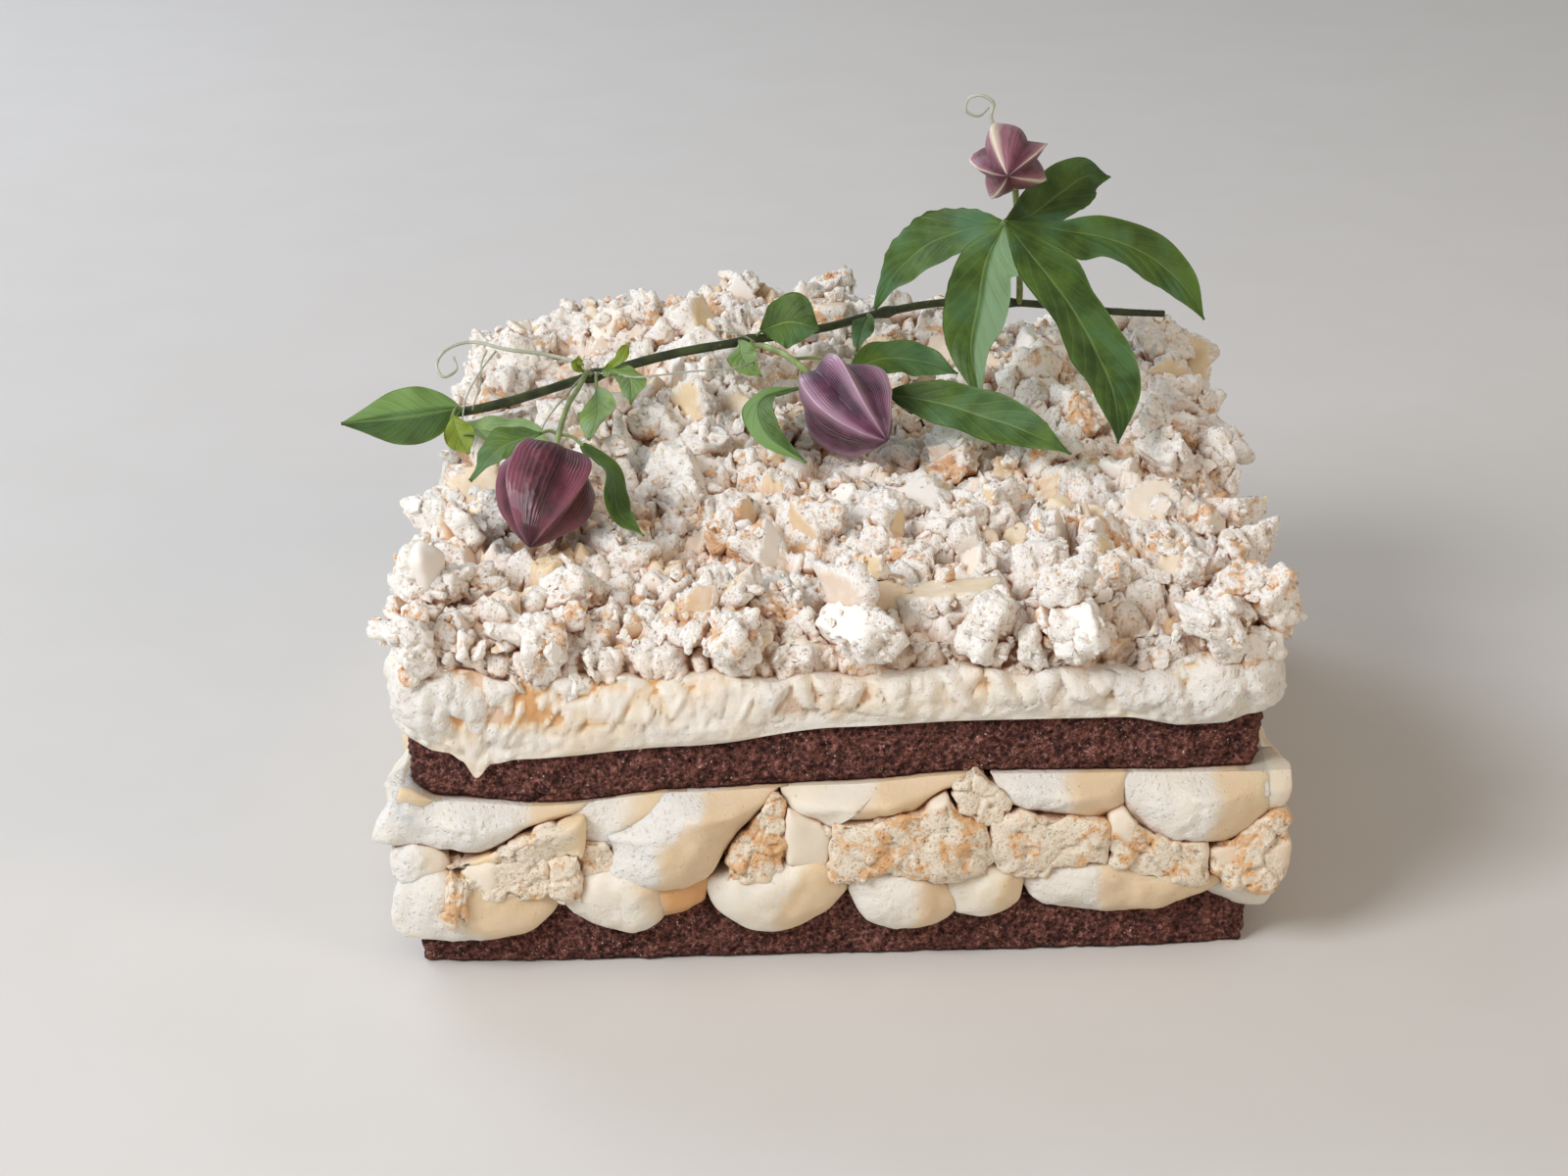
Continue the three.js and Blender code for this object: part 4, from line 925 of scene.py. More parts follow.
def pillow(outline, middle, proud, depth, squareness, detail, taper=0.24):
    # a grid over a rounded piece: from the middle of its front, over the edge, back into the cake
    front, side, _ = detail
    inner = np.linspace(0.04, 0.86, round(0.55 * front), endpoint=False)
    outer = np.linspace(math.asin(0.86 ** (1 / squareness)), math.pi / 2, front - len(inner))
    turn = np.concatenate([np.arcsin(inner ** (1 / squareness)), outer])
    reach = list(np.sin(turn) ** squareness)
    y = list(-proud * np.cos(turn) ** squareness)
    for share in np.linspace(0, 1, side + 1)[1:]:
        reach.append(1 - taper * share ** 1.6)
        y.append(depth * share)
    reach, y = np.array(reach)[:, None], np.array(y)[:, None]
    x = middle[0] + (outline[None, :, 0] - middle[0]) * reach
    z = middle[1] + (outline[None, :, 1] - middle[1]) * reach
    return np.stack([x, np.broadcast_to(y, x.shape), z], axis=2), reach


def gridNormals(grid, reach):
    along = np.gradient(grid, axis=0)
    around = np.roll(grid, -1, axis=1) - np.roll(grid, 1, axis=1)
    normal = unit(np.cross(along, around))
    share = np.clip(1.4 * reach, 0, 1)[..., None]
    return unit(normal * share + normal[2].mean(axis=0) * (1 - share))


def addPillow(shape, side, grid, ceiling=None, **values):
    rows, columns = grid.shape[:2]
    placed = fromSide(side, grid.reshape(-1, 3))
    if ceiling is not None:  # drawn in and pressed flat by the sponge above
        room = ceiling(placed[:, 0], placed[:, 1]) - 0.3
        local = grid.reshape(-1, 3).copy()
        local[:, 1] += 0.9 * blendFrom(5.0, -0.5, room - placed[:, 2]) * np.maximum(-local[:, 1] - 0.3, 0)
        placed = fromSide(side, local)
        start = room - 1.2
        squeezed = start + 1.2 * np.tanh(np.maximum(placed[:, 2] - start, 0) / 1.2)
        placed[:, 2] = np.where(placed[:, 2] > start, squeezed, placed[:, 2])
    ends = [placed[-columns:].mean(axis=0, keepdims=True), placed[:columns].mean(axis=0, keepdims=True)]
    points = np.concatenate([placed] + ends)
    filled = {name: np.append(value.ravel(), [value[-1].mean(), value[0].mean()])
              for name, value in values.items()}
    shape.add(points, [
        gridFaces(rows, columns, True)[:, ::-1],
        fanFaces((rows - 1) * columns, columns, rows * columns, False),
        fanFaces(0, columns, rows * columns + 1, True),
    ], **filled)


def dollop(shape, side, look, seed, ceiling=None, detail=None):
    form = dollopShape
    detail = detail or form["detail"]
    outline = evenOutline(look["outline"], detail[2], 1.0)
    middle = outline.mean(axis=0)
    outline = outline + pieceGrowth * unit(outline - middle)
    grid, reach = pillow(outline, middle, look["bulge"], form["depth"], form["squareness"], detail)
    x, z = grid[..., 0], grid[..., 2]
    low, high = outline[:, 1].min(), outline[:, 1].max()
    topX, footX, height = look["ridge"]
    slope = (topX - footX) / (high - low)
    fromRidge = (x - footX - slope * (z - low)) / math.sqrt(1 + slope * slope)
    wide = 0.5 * (outline[:, 0].max() - outline[:, 0].min())
    face = np.clip(1 - reach ** 3, 0, 1)
    soft = np.sqrt(fromRidge ** 2 + form["ridgeRound"] ** 2) - form["ridgeRound"]
    crest = 1 - np.minimum(soft / (form["ridgeReach"] * wide), 1)
    grid[..., 1] -= height * face * crest - 0.5 * height * face
    normal = gridNormals(grid, reach)
    flat = grid.reshape(-1, 3)
    shove = form["waver"] * layeredNoise(flat, 12.0, 3, seed).reshape(x.shape)
    shove += form["ripple"] * softNoise(flat * np.array([1.0, 1.0, 0.6]), 4.0, seed + 3).reshape(x.shape)
    drawn = np.abs(softNoise(flat * np.array([0.55, 1, 1]), 8.0, seed + 8))
    creases = blendFrom(0.09, 0.0, drawn).reshape(x.shape)
    wander = (2.6 * layeredNoise(flat, 8.0, 3, seed + 9)).reshape(x.shape)
    dry = blendFrom(1.2, -2.2, fromRidge + wander) * abs(look["dry"])
    dry = np.clip(dry + 0.25 * layeredNoise(flat, 5.0, 2, seed + 4).reshape(x.shape) * (dry > 0.02), 0, 1)
    lumps = form["lumpDepth"] * lumpNoise(flat, form["lumpSize"], seed + 5).reshape(x.shape)
    lumps = lumps + form["fineDepth"] * softNoise(flat, form["fineSize"], seed + 6).reshape(x.shape)
    shove = shove - form["creaseDepth"] * creases + dry * (lumps - 0.3)
    grid = grid + normal * (shove * np.clip(1.5 * (1 - reach ** 8) + 0.45, 0, 1))[..., None]
    # tan on the side of the crest away from the key light: painted shade
    farSideShade = 0.7 * blendFrom(-1.8, 2.4, fromRidge + wander) * min(1.0, height / 1.5)
    warm = np.clip(look.get("warm", 0.0) + farSideShade, 0, 1)
    addPillow(shape, side, grid, ceiling, dry=dry, warm=warm)


def roundOutline(left, right, low, high, draw):
    # a dollop that the front doesn't show: flat above and full below
    points = []
    for k in range(12):
        angle = 2 * math.pi * k / 12
        x = abs(math.cos(angle)) ** 0.75 * math.copysign(1, math.cos(angle))
        z = abs(math.sin(angle)) ** 0.8 * math.copysign(1, math.sin(angle))
        grow = 1 + 0.1 * (draw() - 0.5)
        points.append(((left + right) / 2 + (right - left) / 2 * x * grow,
                       (low + high) / 2 + (high - low) / 2 * z * grow))
    return points


def hiddenDollops(side, draw, low, high):
    row, left = [], -side["half"] - 2
    while left < side["half"] - 14:
        right = min(left + 24 + 24 * draw(), side["half"] + 2)
        outline = roundOutline(left, right, low - 2 * draw(), high + 1.5 * draw(), draw)
        ridge = left + (right - left) * (0.35 + 0.4 * draw())
        row.append({"outline": outline, "ridge": (ridge + 5 * (draw() - 0.5), ridge, 1.0 + 2 * draw()),
                    "dry": -0.9 * draw(), "bulge": 3.6 + 1.6 * draw()})
        left = right + 0.3
    return row


def addBed(shape, inset, low, high, **values):
    # the plain inside of a layer, out of sight behind its pieces
    edge, outward = cakeEdge(8, 0)
    flat = edge - outward * inset
    full = np.full(len(flat), 1.0)
    rings = [np.column_stack([flat, full * level(flat[:, 0], flat[:, 1])]) for level in (low, high)]
    ends = [[[0, 0, float(level(0.0, 0.0))]] for level in (low, high)]
    points = np.concatenate(rings + ends)
    shape.add(points, closedFaces(2, len(flat)), **values)


def underSponge(x, y):
    return layerHeight(upperSpongeBottom, x, y)


def buildCreams():
    lower, upper = Shape(("dry", "warm")), Shape(("dry", "warm"))
    for number, look in enumerate(lowerDollops):
        dollop(lower, cakeSides[0], look, 200 + number)
    for number, look in enumerate(upperDollops):
        dollop(upper, cakeSides[0], look, 230 + number, underSponge)
    draw = randomFrom(23)
    plain = dollopShape["hiddenDetail"]
    for number, side in enumerate(cakeSides[1:]):
        for place, look in enumerate(hiddenDollops(side, draw, 9.5, 25)):
            dollop(lower, side, look, 300 + 20 * number + place, detail=plain)
        for place, look in enumerate(hiddenDollops(side, draw, 34.5, 49.5)):
            dollop(upper, side, look, 400 + 20 * number + place, underSponge, plain)
    addBed(lower, creamBed["inset"], lambda x, y: layerHeight(lowerSpongeTop, x, y) - 0.2,
           lambda x, y: creamBed["lowTop"])
    addBed(upper, creamBed["inset"], lambda x, y: creamBed["highBottom"],
           lambda x, y: underSponge(x, y) + 0.2)
    lower.piece("lowerCream", materials["cream"], "cream", ("cream_lower",))
    upper.piece("upperCream", materials["cream"], "cream", ("cream_upper",))


buildCreams()


brokenShape = {
    "detail": (30, 12, 104),  # as for the dollops
    "hiddenDetail": (16, 6, 44),
    "depth": 12.0,
    "squareness": 0.36,
    "taper": 0.12,
    "raggedness": 0.8,
    "chipSize": 7.5,
    "chipDepth": 1.0,
    "fineSize": 1.6,
    "fineDepth": 0.4,
    "pitSize": 2.1,
    "pitDepth": 0.9,
}


def brokenPiece(shape, side, look, seed, detail):
    # a flat-faced piece, porous where it broke and smooth where "shell" says
    form = brokenShape
    outline = evenOutline(look["outline"], detail[2], 0.22)
    wobble = np.column_stack([outline[:, 0], np.zeros(detail[2]), outline[:, 1]])
    middle = outline.mean(axis=0)
    outward = unit(outline - middle)
    ragged = form["raggedness"] * layeredNoise(wobble, 3.4, 2, seed + 1) * (1 - 0.7 * look["shell"])
    outline = outline + outward * (pieceGrowth + ragged)[:, None]
    grid, reach = pillow(outline, middle, look["proud"], form["depth"], form["squareness"], detail,
                         form["taper"])
    x, z = grid[..., 0], grid[..., 2]
    low, high = outline[:, 1].min(), outline[:, 1].max()
    face = np.clip(1 - reach ** 6, 0, 1)
    grid[..., 1] += face * look["lean"] * (z - (low + high) / 2)
    swell = softNoise(grid.reshape(-1, 3) * np.array([1, 0, 1]), 9.0, seed + 2).reshape(x.shape)
    grid[..., 1] += face * 0.9 * swell
    normal = gridNormals(grid, reach)
    flat = grid.reshape(-1, 3)
    patch = 0.5 + 0.9 * layeredNoise(flat * np.array([1.0, 0.4, 1.0]), 9.0, 2, seed + 3).reshape(x.shape)
    shell = 0.0 * patch
    if look["shell"] > 0:
        shell = blendFrom(1 - look["shell"] - 0.12, 1 - look["shell"] + 0.12, patch)
    if look.get("topShell"):  # a baked band along the top
        shell = np.maximum(shell, blendFrom(look["topShell"] + 0.4, look["topShell"] - 0.4, high - z))
    broken = 1 - shell
    pits = blendFrom(0.45, 0.8, softNoise(flat, form["pitSize"], seed + 8)).reshape(x.shape)
    chips = brokenNoise(flat, form["chipSize"], seed + 4)[0].reshape(x.shape)
    fine = (lumpNoise(flat, form["fineSize"], seed + 6) - 0.55).reshape(x.shape)
    shove = broken * (form["chipDepth"] * chips + form["fineDepth"] * fine - form["pitDepth"] * pits)
    shove = shove + 0.25 * layeredNoise(flat, 6.0, 2, seed + 5).reshape(x.shape)
    grid = grid + normal * shove[..., None]
    # how far back into the cake a point lies, which the material paints caramel as painted shade
    deep = np.clip(grid[..., 1] / 9.0, 0, 1)
    addPillow(shape, side, grid, None, shell=shell, deep=deep, tone=np.full(x.shape, look["tone"]))


def hiddenBroken(side, draw):
    row, left = [], -side["half"] - 2
    while left < side["half"] - 6:
        right = min(left + 9 + 16 * draw() ** 1.5, side["half"] + 3)
        low, high = 19.5 + 5 * draw(), 34 + 5 * draw()
        corners = [(left, low + 2), (left + 1, high - 3), ((left + right) / 2, high + 1), (right, high - 2),
                   (right - 1, low + 3), ((left + right) / 2, low - 1)]
        outline = [(x + 1.6 * (draw() - 0.5), z + 2.4 * (draw() - 0.5)) for x, z in corners]
        row.append({"outline": outline, "proud": 2.5 + 3.5 * draw(), "shell": max(0, 1.3 * draw() - 0.5),
                    "tone": draw(), "lean": 0.3 * (draw() - 0.5)})
        left = right + 0.2
    return row


def buildFilling():
    shape = Shape(("shell", "tone", "deep"))
    for number, look in enumerate(brokenPieces):
        brokenPiece(shape, cakeSides[0], look, 500 + 10 * number, brokenShape["detail"])
    draw = randomFrom(67)
    for number, side in enumerate(cakeSides[1:]):
        for place, look in enumerate(hiddenBroken(side, draw)):
            brokenPiece(shape, side, look, 700 + 200 * number + 10 * place, brokenShape["hiddenDetail"])
    addBed(shape, 8.0, lambda x, y: 22.9, lambda x, y: 37.1, deep=1.0, tone=0.5, shell=0.0)
    shape.piece("brokenFilling", materials["filling"], "filling", ("filling_meringue",))


buildFilling()


# Loose pieces of meringue

shardKinds = {
    # cuts: how many planes besides the six sides; reach: how far out they lie, spread and least
    "slab": {"cuts": 7, "reach": (0.16, 0.08), "sharpness": 40},
    "lump": {"cuts": 7, "reach": (0.16, 0.08), "sharpness": 22},
    "knob": {"cuts": 11, "reach": (-0.02, 0.0), "sharpness": 10},
}
shardShape = {
    "upward": 0.35,  # finer above, where it shows
    "waver": 0.7,
    "chipSize": 6.5,
    "chipDepth": 1.6,
    "bitSize": 2.7,
    "bitDepth": 1.2,
    "fineSize": 1.6,
    "fineDepth": 0.5,
    "pitSize": 1.9,
    "pitDepth": 0.7,
    "shellWaver": 0.3,
}


def shard(shape, centre, half, turn, seed, count, kind, tone):
    # a broken piece: cut by planes, smooth where its baked shell is left and porous where it broke
    look, form = shardKinds[kind], shardShape
    draw = randomFrom(seed)
    directions, faces = evenBall(count)
    world = unit(directions + np.array([0, 0, form["upward"]]))
    local = world @ turn
    normals, reaches = [], []
    for axis in range(3):
        for sign in (-1, 1):
            lean = np.array([0.36 * (draw() - 0.5) for _ in range(3)])
            lean[axis] = sign
            normals.append(lean)
            reaches.append(0.86 + 0.16 * draw())
    spread, least = look["reach"]
    for _ in range(look["cuts"]):
        normals.append([2 * draw() - 1, 2 * draw() - 1, 2 * draw() - 1])
        reaches.append(1.0 + spread * draw() + least)
    normals = unit(np.array(normals))
    towards = unit(local / half)  # in a cube-like space, so flat pieces are cut alike
    power = look["sharpness"]
    pressed = np.maximum(towards @ normals.T / np.array(reaches), 0) ** power
    size = pressed.sum(axis=1)
    body = towards * half * (size ** (-1 / power))[:, None]
    shellPlane = 5 if turn[2, 2] > 0 else 4
    if kind == "lump":
        shell = np.zeros(count)
    else:
        shell = pressed[:, shellPlane] / size
        if kind == "knob":
            shell = blendFrom(-0.5, 0.3, towards @ normals[shellPlane])
    placed = body @ turn.T + centre
    shell = blendFrom(0.3, 0.6, shell + 0.18 * layeredNoise(placed, 3.2, 2, seed))
    out = unit(body @ turn.T)
    span = float(np.mean(half))
    crumble = min(1.0, span / 6.0)
    chips, _ = brokenNoise(placed, form["chipSize"], seed + 4)
    bits, _ = brokenNoise(placed, form["bitSize"], seed + 6)
    fine = lumpNoise(placed, form["fineSize"], seed + 5) - 0.55
    pits = blendFrom(0.45, 0.8, softNoise(placed, form["pitSize"], seed + 8))
    shove = (1 - shell) * crumble * (
        form["waver"] * layeredNoise(placed, 9.0, 2, seed + 1)
        + form["chipDepth"] * chips + form["bitDepth"] * bits + form["fineDepth"] * fine
        - form["pitDepth"] * pits)
    shove += shell * form["shellWaver"] * layeredNoise(placed, 6.0, 2, seed + 2) * crumble
    placed = placed + out * shove[:, None]
    # how far under the heap's surface a point lies, which the material paints caramel as painted shade
    level = heapHeight(placed[:, 0], placed[:, 1])
    inside = blendFrom(0.0, 9.0, insideBy(placed[:, 0], placed[:, 1]))
    deep = blendFrom(-1.0, -9.0, placed[:, 2] - level) * inside
    shape.add(placed, [faces], shell=shell, tone=tone, deep=deep)


# Cream over the upper sponge

topCream = {
    "perSide": 300,
    "rows": 34,
    "inner": 1.3,
    "proud": 3.4,
    "rim": 1.5,  # how far the cream swells up round the heap
    "sideLip": 1.6,  # how far it hangs over the sponge on the sides that the front doesn't show
    "sideLipWave": 1.4,
    "shelf": (-9.0, -24.0, -60.0),
    "streaks": [  # as (x, z, half length, height)
        (-80, 65, 2.8, 1.2), (-74, 63, 3.4, 0.8), (-65, 65, 3.2, 1.6), (-59, 63, 2.4, 1.1),
        (-50, 65, 4.2, 1.6), (-44, 63, 2.3, 0.9), (-37, 66, 3.6, 1.4), (-30, 64, 2.2, 1.0),
        (-21, 66, 3.1, 1.2), (-13, 65, 2.0, 0.8)],
    "foldGain": 1.5,
    "folds": [  # as (x, z, half width, half height, height)
        (-96, 68, 7.0, 7.6, 2.4), (-87, 69, 6.0, 5.6, 2.0), (-76, 71.6, 5.0, 3.6, 1.4),
        (-62, 71.8, 6.6, 3.4, 1.6), (-47, 72, 5.2, 3.0, 1.4), (-33, 72, 5.6, 3.4, 1.6),
        (-22, 70.8, 3.6, 4.4, 1.8), (-14.5, 71, 4.2, 5.2, 2.2), (-8.5, 69.4, 2.7, 4.6, 1.7),
        (-3, 71.2, 3.4, 4.2, 2.3), (3.4, 70.2, 3.5, 5.6, 2.1), (9.6, 71.4, 3.1, 3.8, 1.8),
        (13.8, 69.6, 2.8, 5.4, 2.3), (20.4, 70.8, 4.0, 5.0, 2.0), (26.6, 69.4, 2.6, 5.8, 2.4),
        (31, 71.4, 3.1, 3.8, 1.7), (37, 70.4, 3.9, 5.8, 2.5), (43.4, 69.6, 2.8, 5.6, 1.9),
        (48, 71, 3.0, 4.6, 2.4), (54.6, 69.8, 4.1, 6.0, 2.2), (61.4, 70.6, 3.6, 4.4, 2.0),
        (68, 68.2, 4.8, 5.2, 2.2), (76.5, 66.6, 6.2, 5.8, 2.5), (87, 67.2, 7.2, 7.8, 3.0),
        (97, 68, 6.2, 7.6, 2.4)],
    "hiddenFolds": 15,
}


def buildTopCream():
    look = topCream
    shape = Shape(("dry", "warm"))
    edge, outward = cakeEdge(look["perSide"], 10)
    count = len(edge)
    onFront = blendFrom(12, 4, edge[:, 1] - frontY(edge[:, 0]))
    index = np.arange(count)
    sideLip = look["sideLip"] + look["sideLipWave"] * np.abs(np.sin(index / look["perSide"] * 12.6))
    lip = onFront * lineAt(topCreamDrop, edge[:, 0]) + (1 - onFront) * sideLip
    under = layerHeight(upperSpongeTop, edge[:, 0], edge[:, 1])
    over = layerHeight(topCreamTop, edge[:, 0], edge[:, 1])
    draw = randomFrom(29)
    foldsBySide = [(cakeSides[0], look["folds"])]
    for side in cakeSides[1:]:
        step = 2 * side["half"] / look["hiddenFolds"]
        foldsBySide.append((side, [
            (-side["half"] + step * (k + 0.5 + 0.5 * (draw() - 0.5)), 66 + 5 * draw(),
             step * (0.4 + 0.35 * draw()), 3.4 + 4 * draw(), 1.0 + 1.6 * draw())
            for k in range(look["hiddenFolds"])]))
    # from the lip's inner edge, over the bulge, to the shelf under the heap
    profile = [(0.0, look["inner"]), (0.0, look["inner"] + 0.9), (0.08, 2.7), (0.3, look["proud"]),
               (0.6, look["proud"] - 0.3), (0.85, 1.8), (1.0, -0.6), (1.0, -4.0)]
    at = np.linspace(0, len(profile) - 1, look["rows"])
    rises = np.interp(at, range(len(profile)), [step[0] for step in profile])
    reaches = np.interp(at, range(len(profile)), [step[1] for step in profile])
    rings, grooveShade, tipHighlights = [], [], []
    for step, rise, reach in zip(at, rises, reaches):
        bottom = under - lip
        z = bottom + (over - bottom) * rise
        flat = edge + outward * reach
        place = np.column_stack([flat, z])
        x = flat[:, 0]
        shove = 1.0 * layeredNoise(place, 12.0, 3, 31) + 0.35 * softNoise(place, 3.6, 33)
        lift = 0.4 * softNoise(place, 5.0, 35)
        for middle, height, length, tall in look["streaks"]:
            slant = (x - middle) - (0.5 + 0.15 * tall) * (z - height)
            ridge = np.exp(-(slant / 0.55) ** 2) - 0.4 * np.exp(-((slant - 1.5) / 1.1) ** 2)
            shove += 0.5 * tall * onFront * ridge * np.exp(-((z - height) / length) ** 4)
        ripple = 0.9 * softNoise(place, 4.0, 57)
        for side, folds in foldsBySide:
            along, inwards = alongSide(side, flat)
            for number, (middle, height, wide, tall, proud) in enumerate(folds):
                lean = 0.7 * math.sin(2.4 * number) + 0.3
                bent = along - middle + lean * (z - height) + ripple
                dome = 1 - (bent / wide) ** 2 - ((z - height) / tall) ** 2
                raised = look["foldGain"] * proud * np.sqrt(np.maximum(dome, 0)) - 0.9
                shove = np.where((dome > 0) & (inwards < 8), np.maximum(shove, raised), shove)
        frontWisps = np.maximum(blendFrom(-58, -72, x), blendFrom(52, 66, x))
        wisps = blendFrom(0.1, 0.5, layeredNoise(place, 21.0, 2, 39)) * (1 - onFront) + onFront * frontWisps
        fluff = 0.45 + 0.75 * wisps
        shove += fluff * (1.3 * (lumpNoise(place, 3.3, 51) - 0.5) + 0.8 * (lumpNoise(place, 1.8, 53) - 0.5))
        shove += 0.9 * blendFrom(0.1, 0.4, rise) * brokenNoise(place, 5.2, 59)[0]
        # tan in the hollows near the top is painted shade; the whiter, drier raised tips are painted
        # highlight
        grooveShade.append(blendFrom(0.5, -0.7, shove) * blendFrom(0.25, 0.6, rise))
        tipHighlights.append(np.maximum(wisps * blendFrom(-0.2, 0.5, shove), 0.75 * blendFrom(1.0, 2.2, shove)))
        swell = 1 + 0.9 * softNoise(place * np.array([1, 1, 0]), 7.0, 41)
        lift += look["rim"] * blendFrom(0.5, 1.0, rise) * swell
        keep = blendFrom(0.6, 2.2, step)
        flat = flat + outward * (shove * keep)[:, None]
        rings.append(np.column_stack([flat, z + lift * keep * blendFrom(0, 0.3, rise + 0.1)]))
    uneven = over + 0.3 * softNoise(np.column_stack([edge, over]), 6.0, 37)
    shelf = [np.column_stack([edge + outward * reach, uneven]) for reach in look["shelf"]]
    skin = np.concatenate(rings)
    # the tan value carries the grooves' painted shade, the dry value the tips' painted highlight along with
    # their roughness
    warm = 0.06 + 0.3 * layeredNoise(skin, 10.0, 2, 43) + 1.15 * np.concatenate(grooveShade)
    dry = np.maximum(0.5 * blendFrom(0.1, 0.6, layeredNoise(skin, 14.0, 2, 47)), 0.9 * np.concatenate(tipHighlights))
    sole = np.column_stack([edge - outward * 4.0, under - 0.2])
    around = (count, len(shelf) * count + 2)
    rings = [sole] + rings + shelf
    middleUnder = float(layerHeight(upperSpongeTop, 0.0, 0.0)) - 0.2
    middleOver = float(layerHeight(topCreamTop, 0.0, 0.0))
    points = np.concatenate(rings + [[[0, 0, middleUnder]], [[0, 0, middleOver]]])
    shape.add(points, closedFaces(len(rings), count),
              warm=np.pad(np.clip(warm, 0, 1), around), dry=np.pad(dry, around))
    shape.piece("topCream", materials["cream"], "cream", ("cream_top",))


buildTopCream()


# Heap of crushed meringue

heap = {
    "frontHeight": 86, "backRise": 8, "backRiseEnd": 70,
    "hill": {"x": -28, "y": 90, "height": 11, "spreadX": 45, "spreadY": 60},
    "sideDropFront": 4, "sideDropBack": 9, "sideDropWidth": 16,
    "backDrop": 4, "backDropWidth": 9,
    "coreDepth": 3.0,
    "seed": 41,
    "gridRows": 8, "gridReach": 0.94, "gridJitter": 0.8, "gridSize": 7.8, "gridExtra": 6, "sink": 0.42,
    "brimCount": 7, "brimReach": 0.9, "brimJitter": 0.6, "brimSize": 7.5, "brimExtra": 4,
    "brimInset": 3.5, "brimHeight": 79,
    "knobs": [(-96, -90, 92.5, 7.5), (93, -88, 86, 9)],
    "knobShare": 0.35,
    "clearance": 1.1,
    "coreCells": 270,
    "wallCells": 16,
}


def heapHeight(x, y):
    hill = heap["hill"]
    inside = np.minimum(halfWidth - np.abs(x), y - frontY(x))
    back = blendFrom(-backY, 0, y)
    crown = np.exp(-((x - hill["x"]) / hill["spreadX"]) ** 2 - ((y - hill["y"]) / hill["spreadY"]) ** 2)
    drop = heap["sideDropFront"] + (heap["sideDropBack"] - heap["sideDropFront"]) * back
    return (heap["frontHeight"] + heap["backRise"] * blendFrom(-backY, heap["backRiseEnd"], y)
            + hill["height"] * crown
            - drop * (1 - blendFrom(0, heap["sideDropWidth"], inside))
            - heap["backDrop"] * (1 - blendFrom(0, heap["backDropWidth"], backY - y)))


def insideBy(x, y):
    return np.minimum(np.minimum(halfWidth - np.abs(x), y - frontY(x)), backY - y)


def heapPieces():
    # the same places as in the solid: a jittered grid over the top, then a row round the brim
    draw = randomFrom(heap["seed"])
    pieces = []

    def add(x, y, z, size):
        spin = [2 * math.pi * draw() for _ in range(3)]
        stretch = [0.85 + 0.45 * draw(), 0.7 + 0.3 * draw(), 0.5 + 0.35 * draw()]
        pieces.append({"place": np.array([x, y, z]), "size": size, "spin": spin, "stretch": stretch,
                       "knob": draw() < heap["knobShare"]})

    def gridPlace(number):
        moved = number + 0.5 + heap["gridJitter"] * (draw() - 0.5)
        return heap["gridReach"] * (-1 + 2 * moved / heap["gridRows"])

    for row in range(heap["gridRows"]):
        for column in range(heap["gridRows"]):
            u = gridPlace(column)
            v = gridPlace(row)
            x, y = planPoint(u, v)
            size = heap["gridSize"] + heap["gridExtra"] * draw() ** 2
            add(x, y, float(heapHeight(x, y)) - heap["sink"] * size, size)
    for side in cakeSides:
        for k in range(heap["brimCount"]):
            share = (k + heap["brimJitter"] * (draw() - 0.5)) / (heap["brimCount"] - 1)
            size = heap["brimSize"] + heap["brimExtra"] * draw()
            along = side["half"] * heap["brimReach"] * (2 * share - 1)
            inset = heap["brimInset"] - 2 * draw()
            height = heap["brimHeight"] + 4 * draw()
            place = fromSide(side, np.array([[along, inset, height]]))[0]
            add(*place, size)
    for knob in heap["knobs"]:
        add(*knob)
    return pieces


def spinMatrix(spin):
    # turned about x, then y, then z
    first, second, third = (Matrix.Rotation(angle, 3, axis) for angle, axis in zip(spin, "XYZ"))
    return np.array(third @ second @ first)


def heapFoot(x, y):
    return layerHeight(topCreamTop, x, y) - 1.5


def coreRelief(place):
    # crumbs packed together, finer than the loose pieces on them
    pressed = place * np.array([1, 1, 0.6])
    wide, tone = brokenNoise(pressed, 12.5, 61)
    narrow, otherTone = brokenNoise(pressed, 6.2, 63)
    chips, _ = brokenNoise(pressed, 3.1, 67)
    relief = (1.6 * layeredNoise(place, 19.0, 2, 61) + 4.6 * wide + 3.0 * narrow + 1.3 * chips
              + 0.5 * (lumpNoise(place, 1.7, 73) - 0.5))
    return relief, tone, otherTone


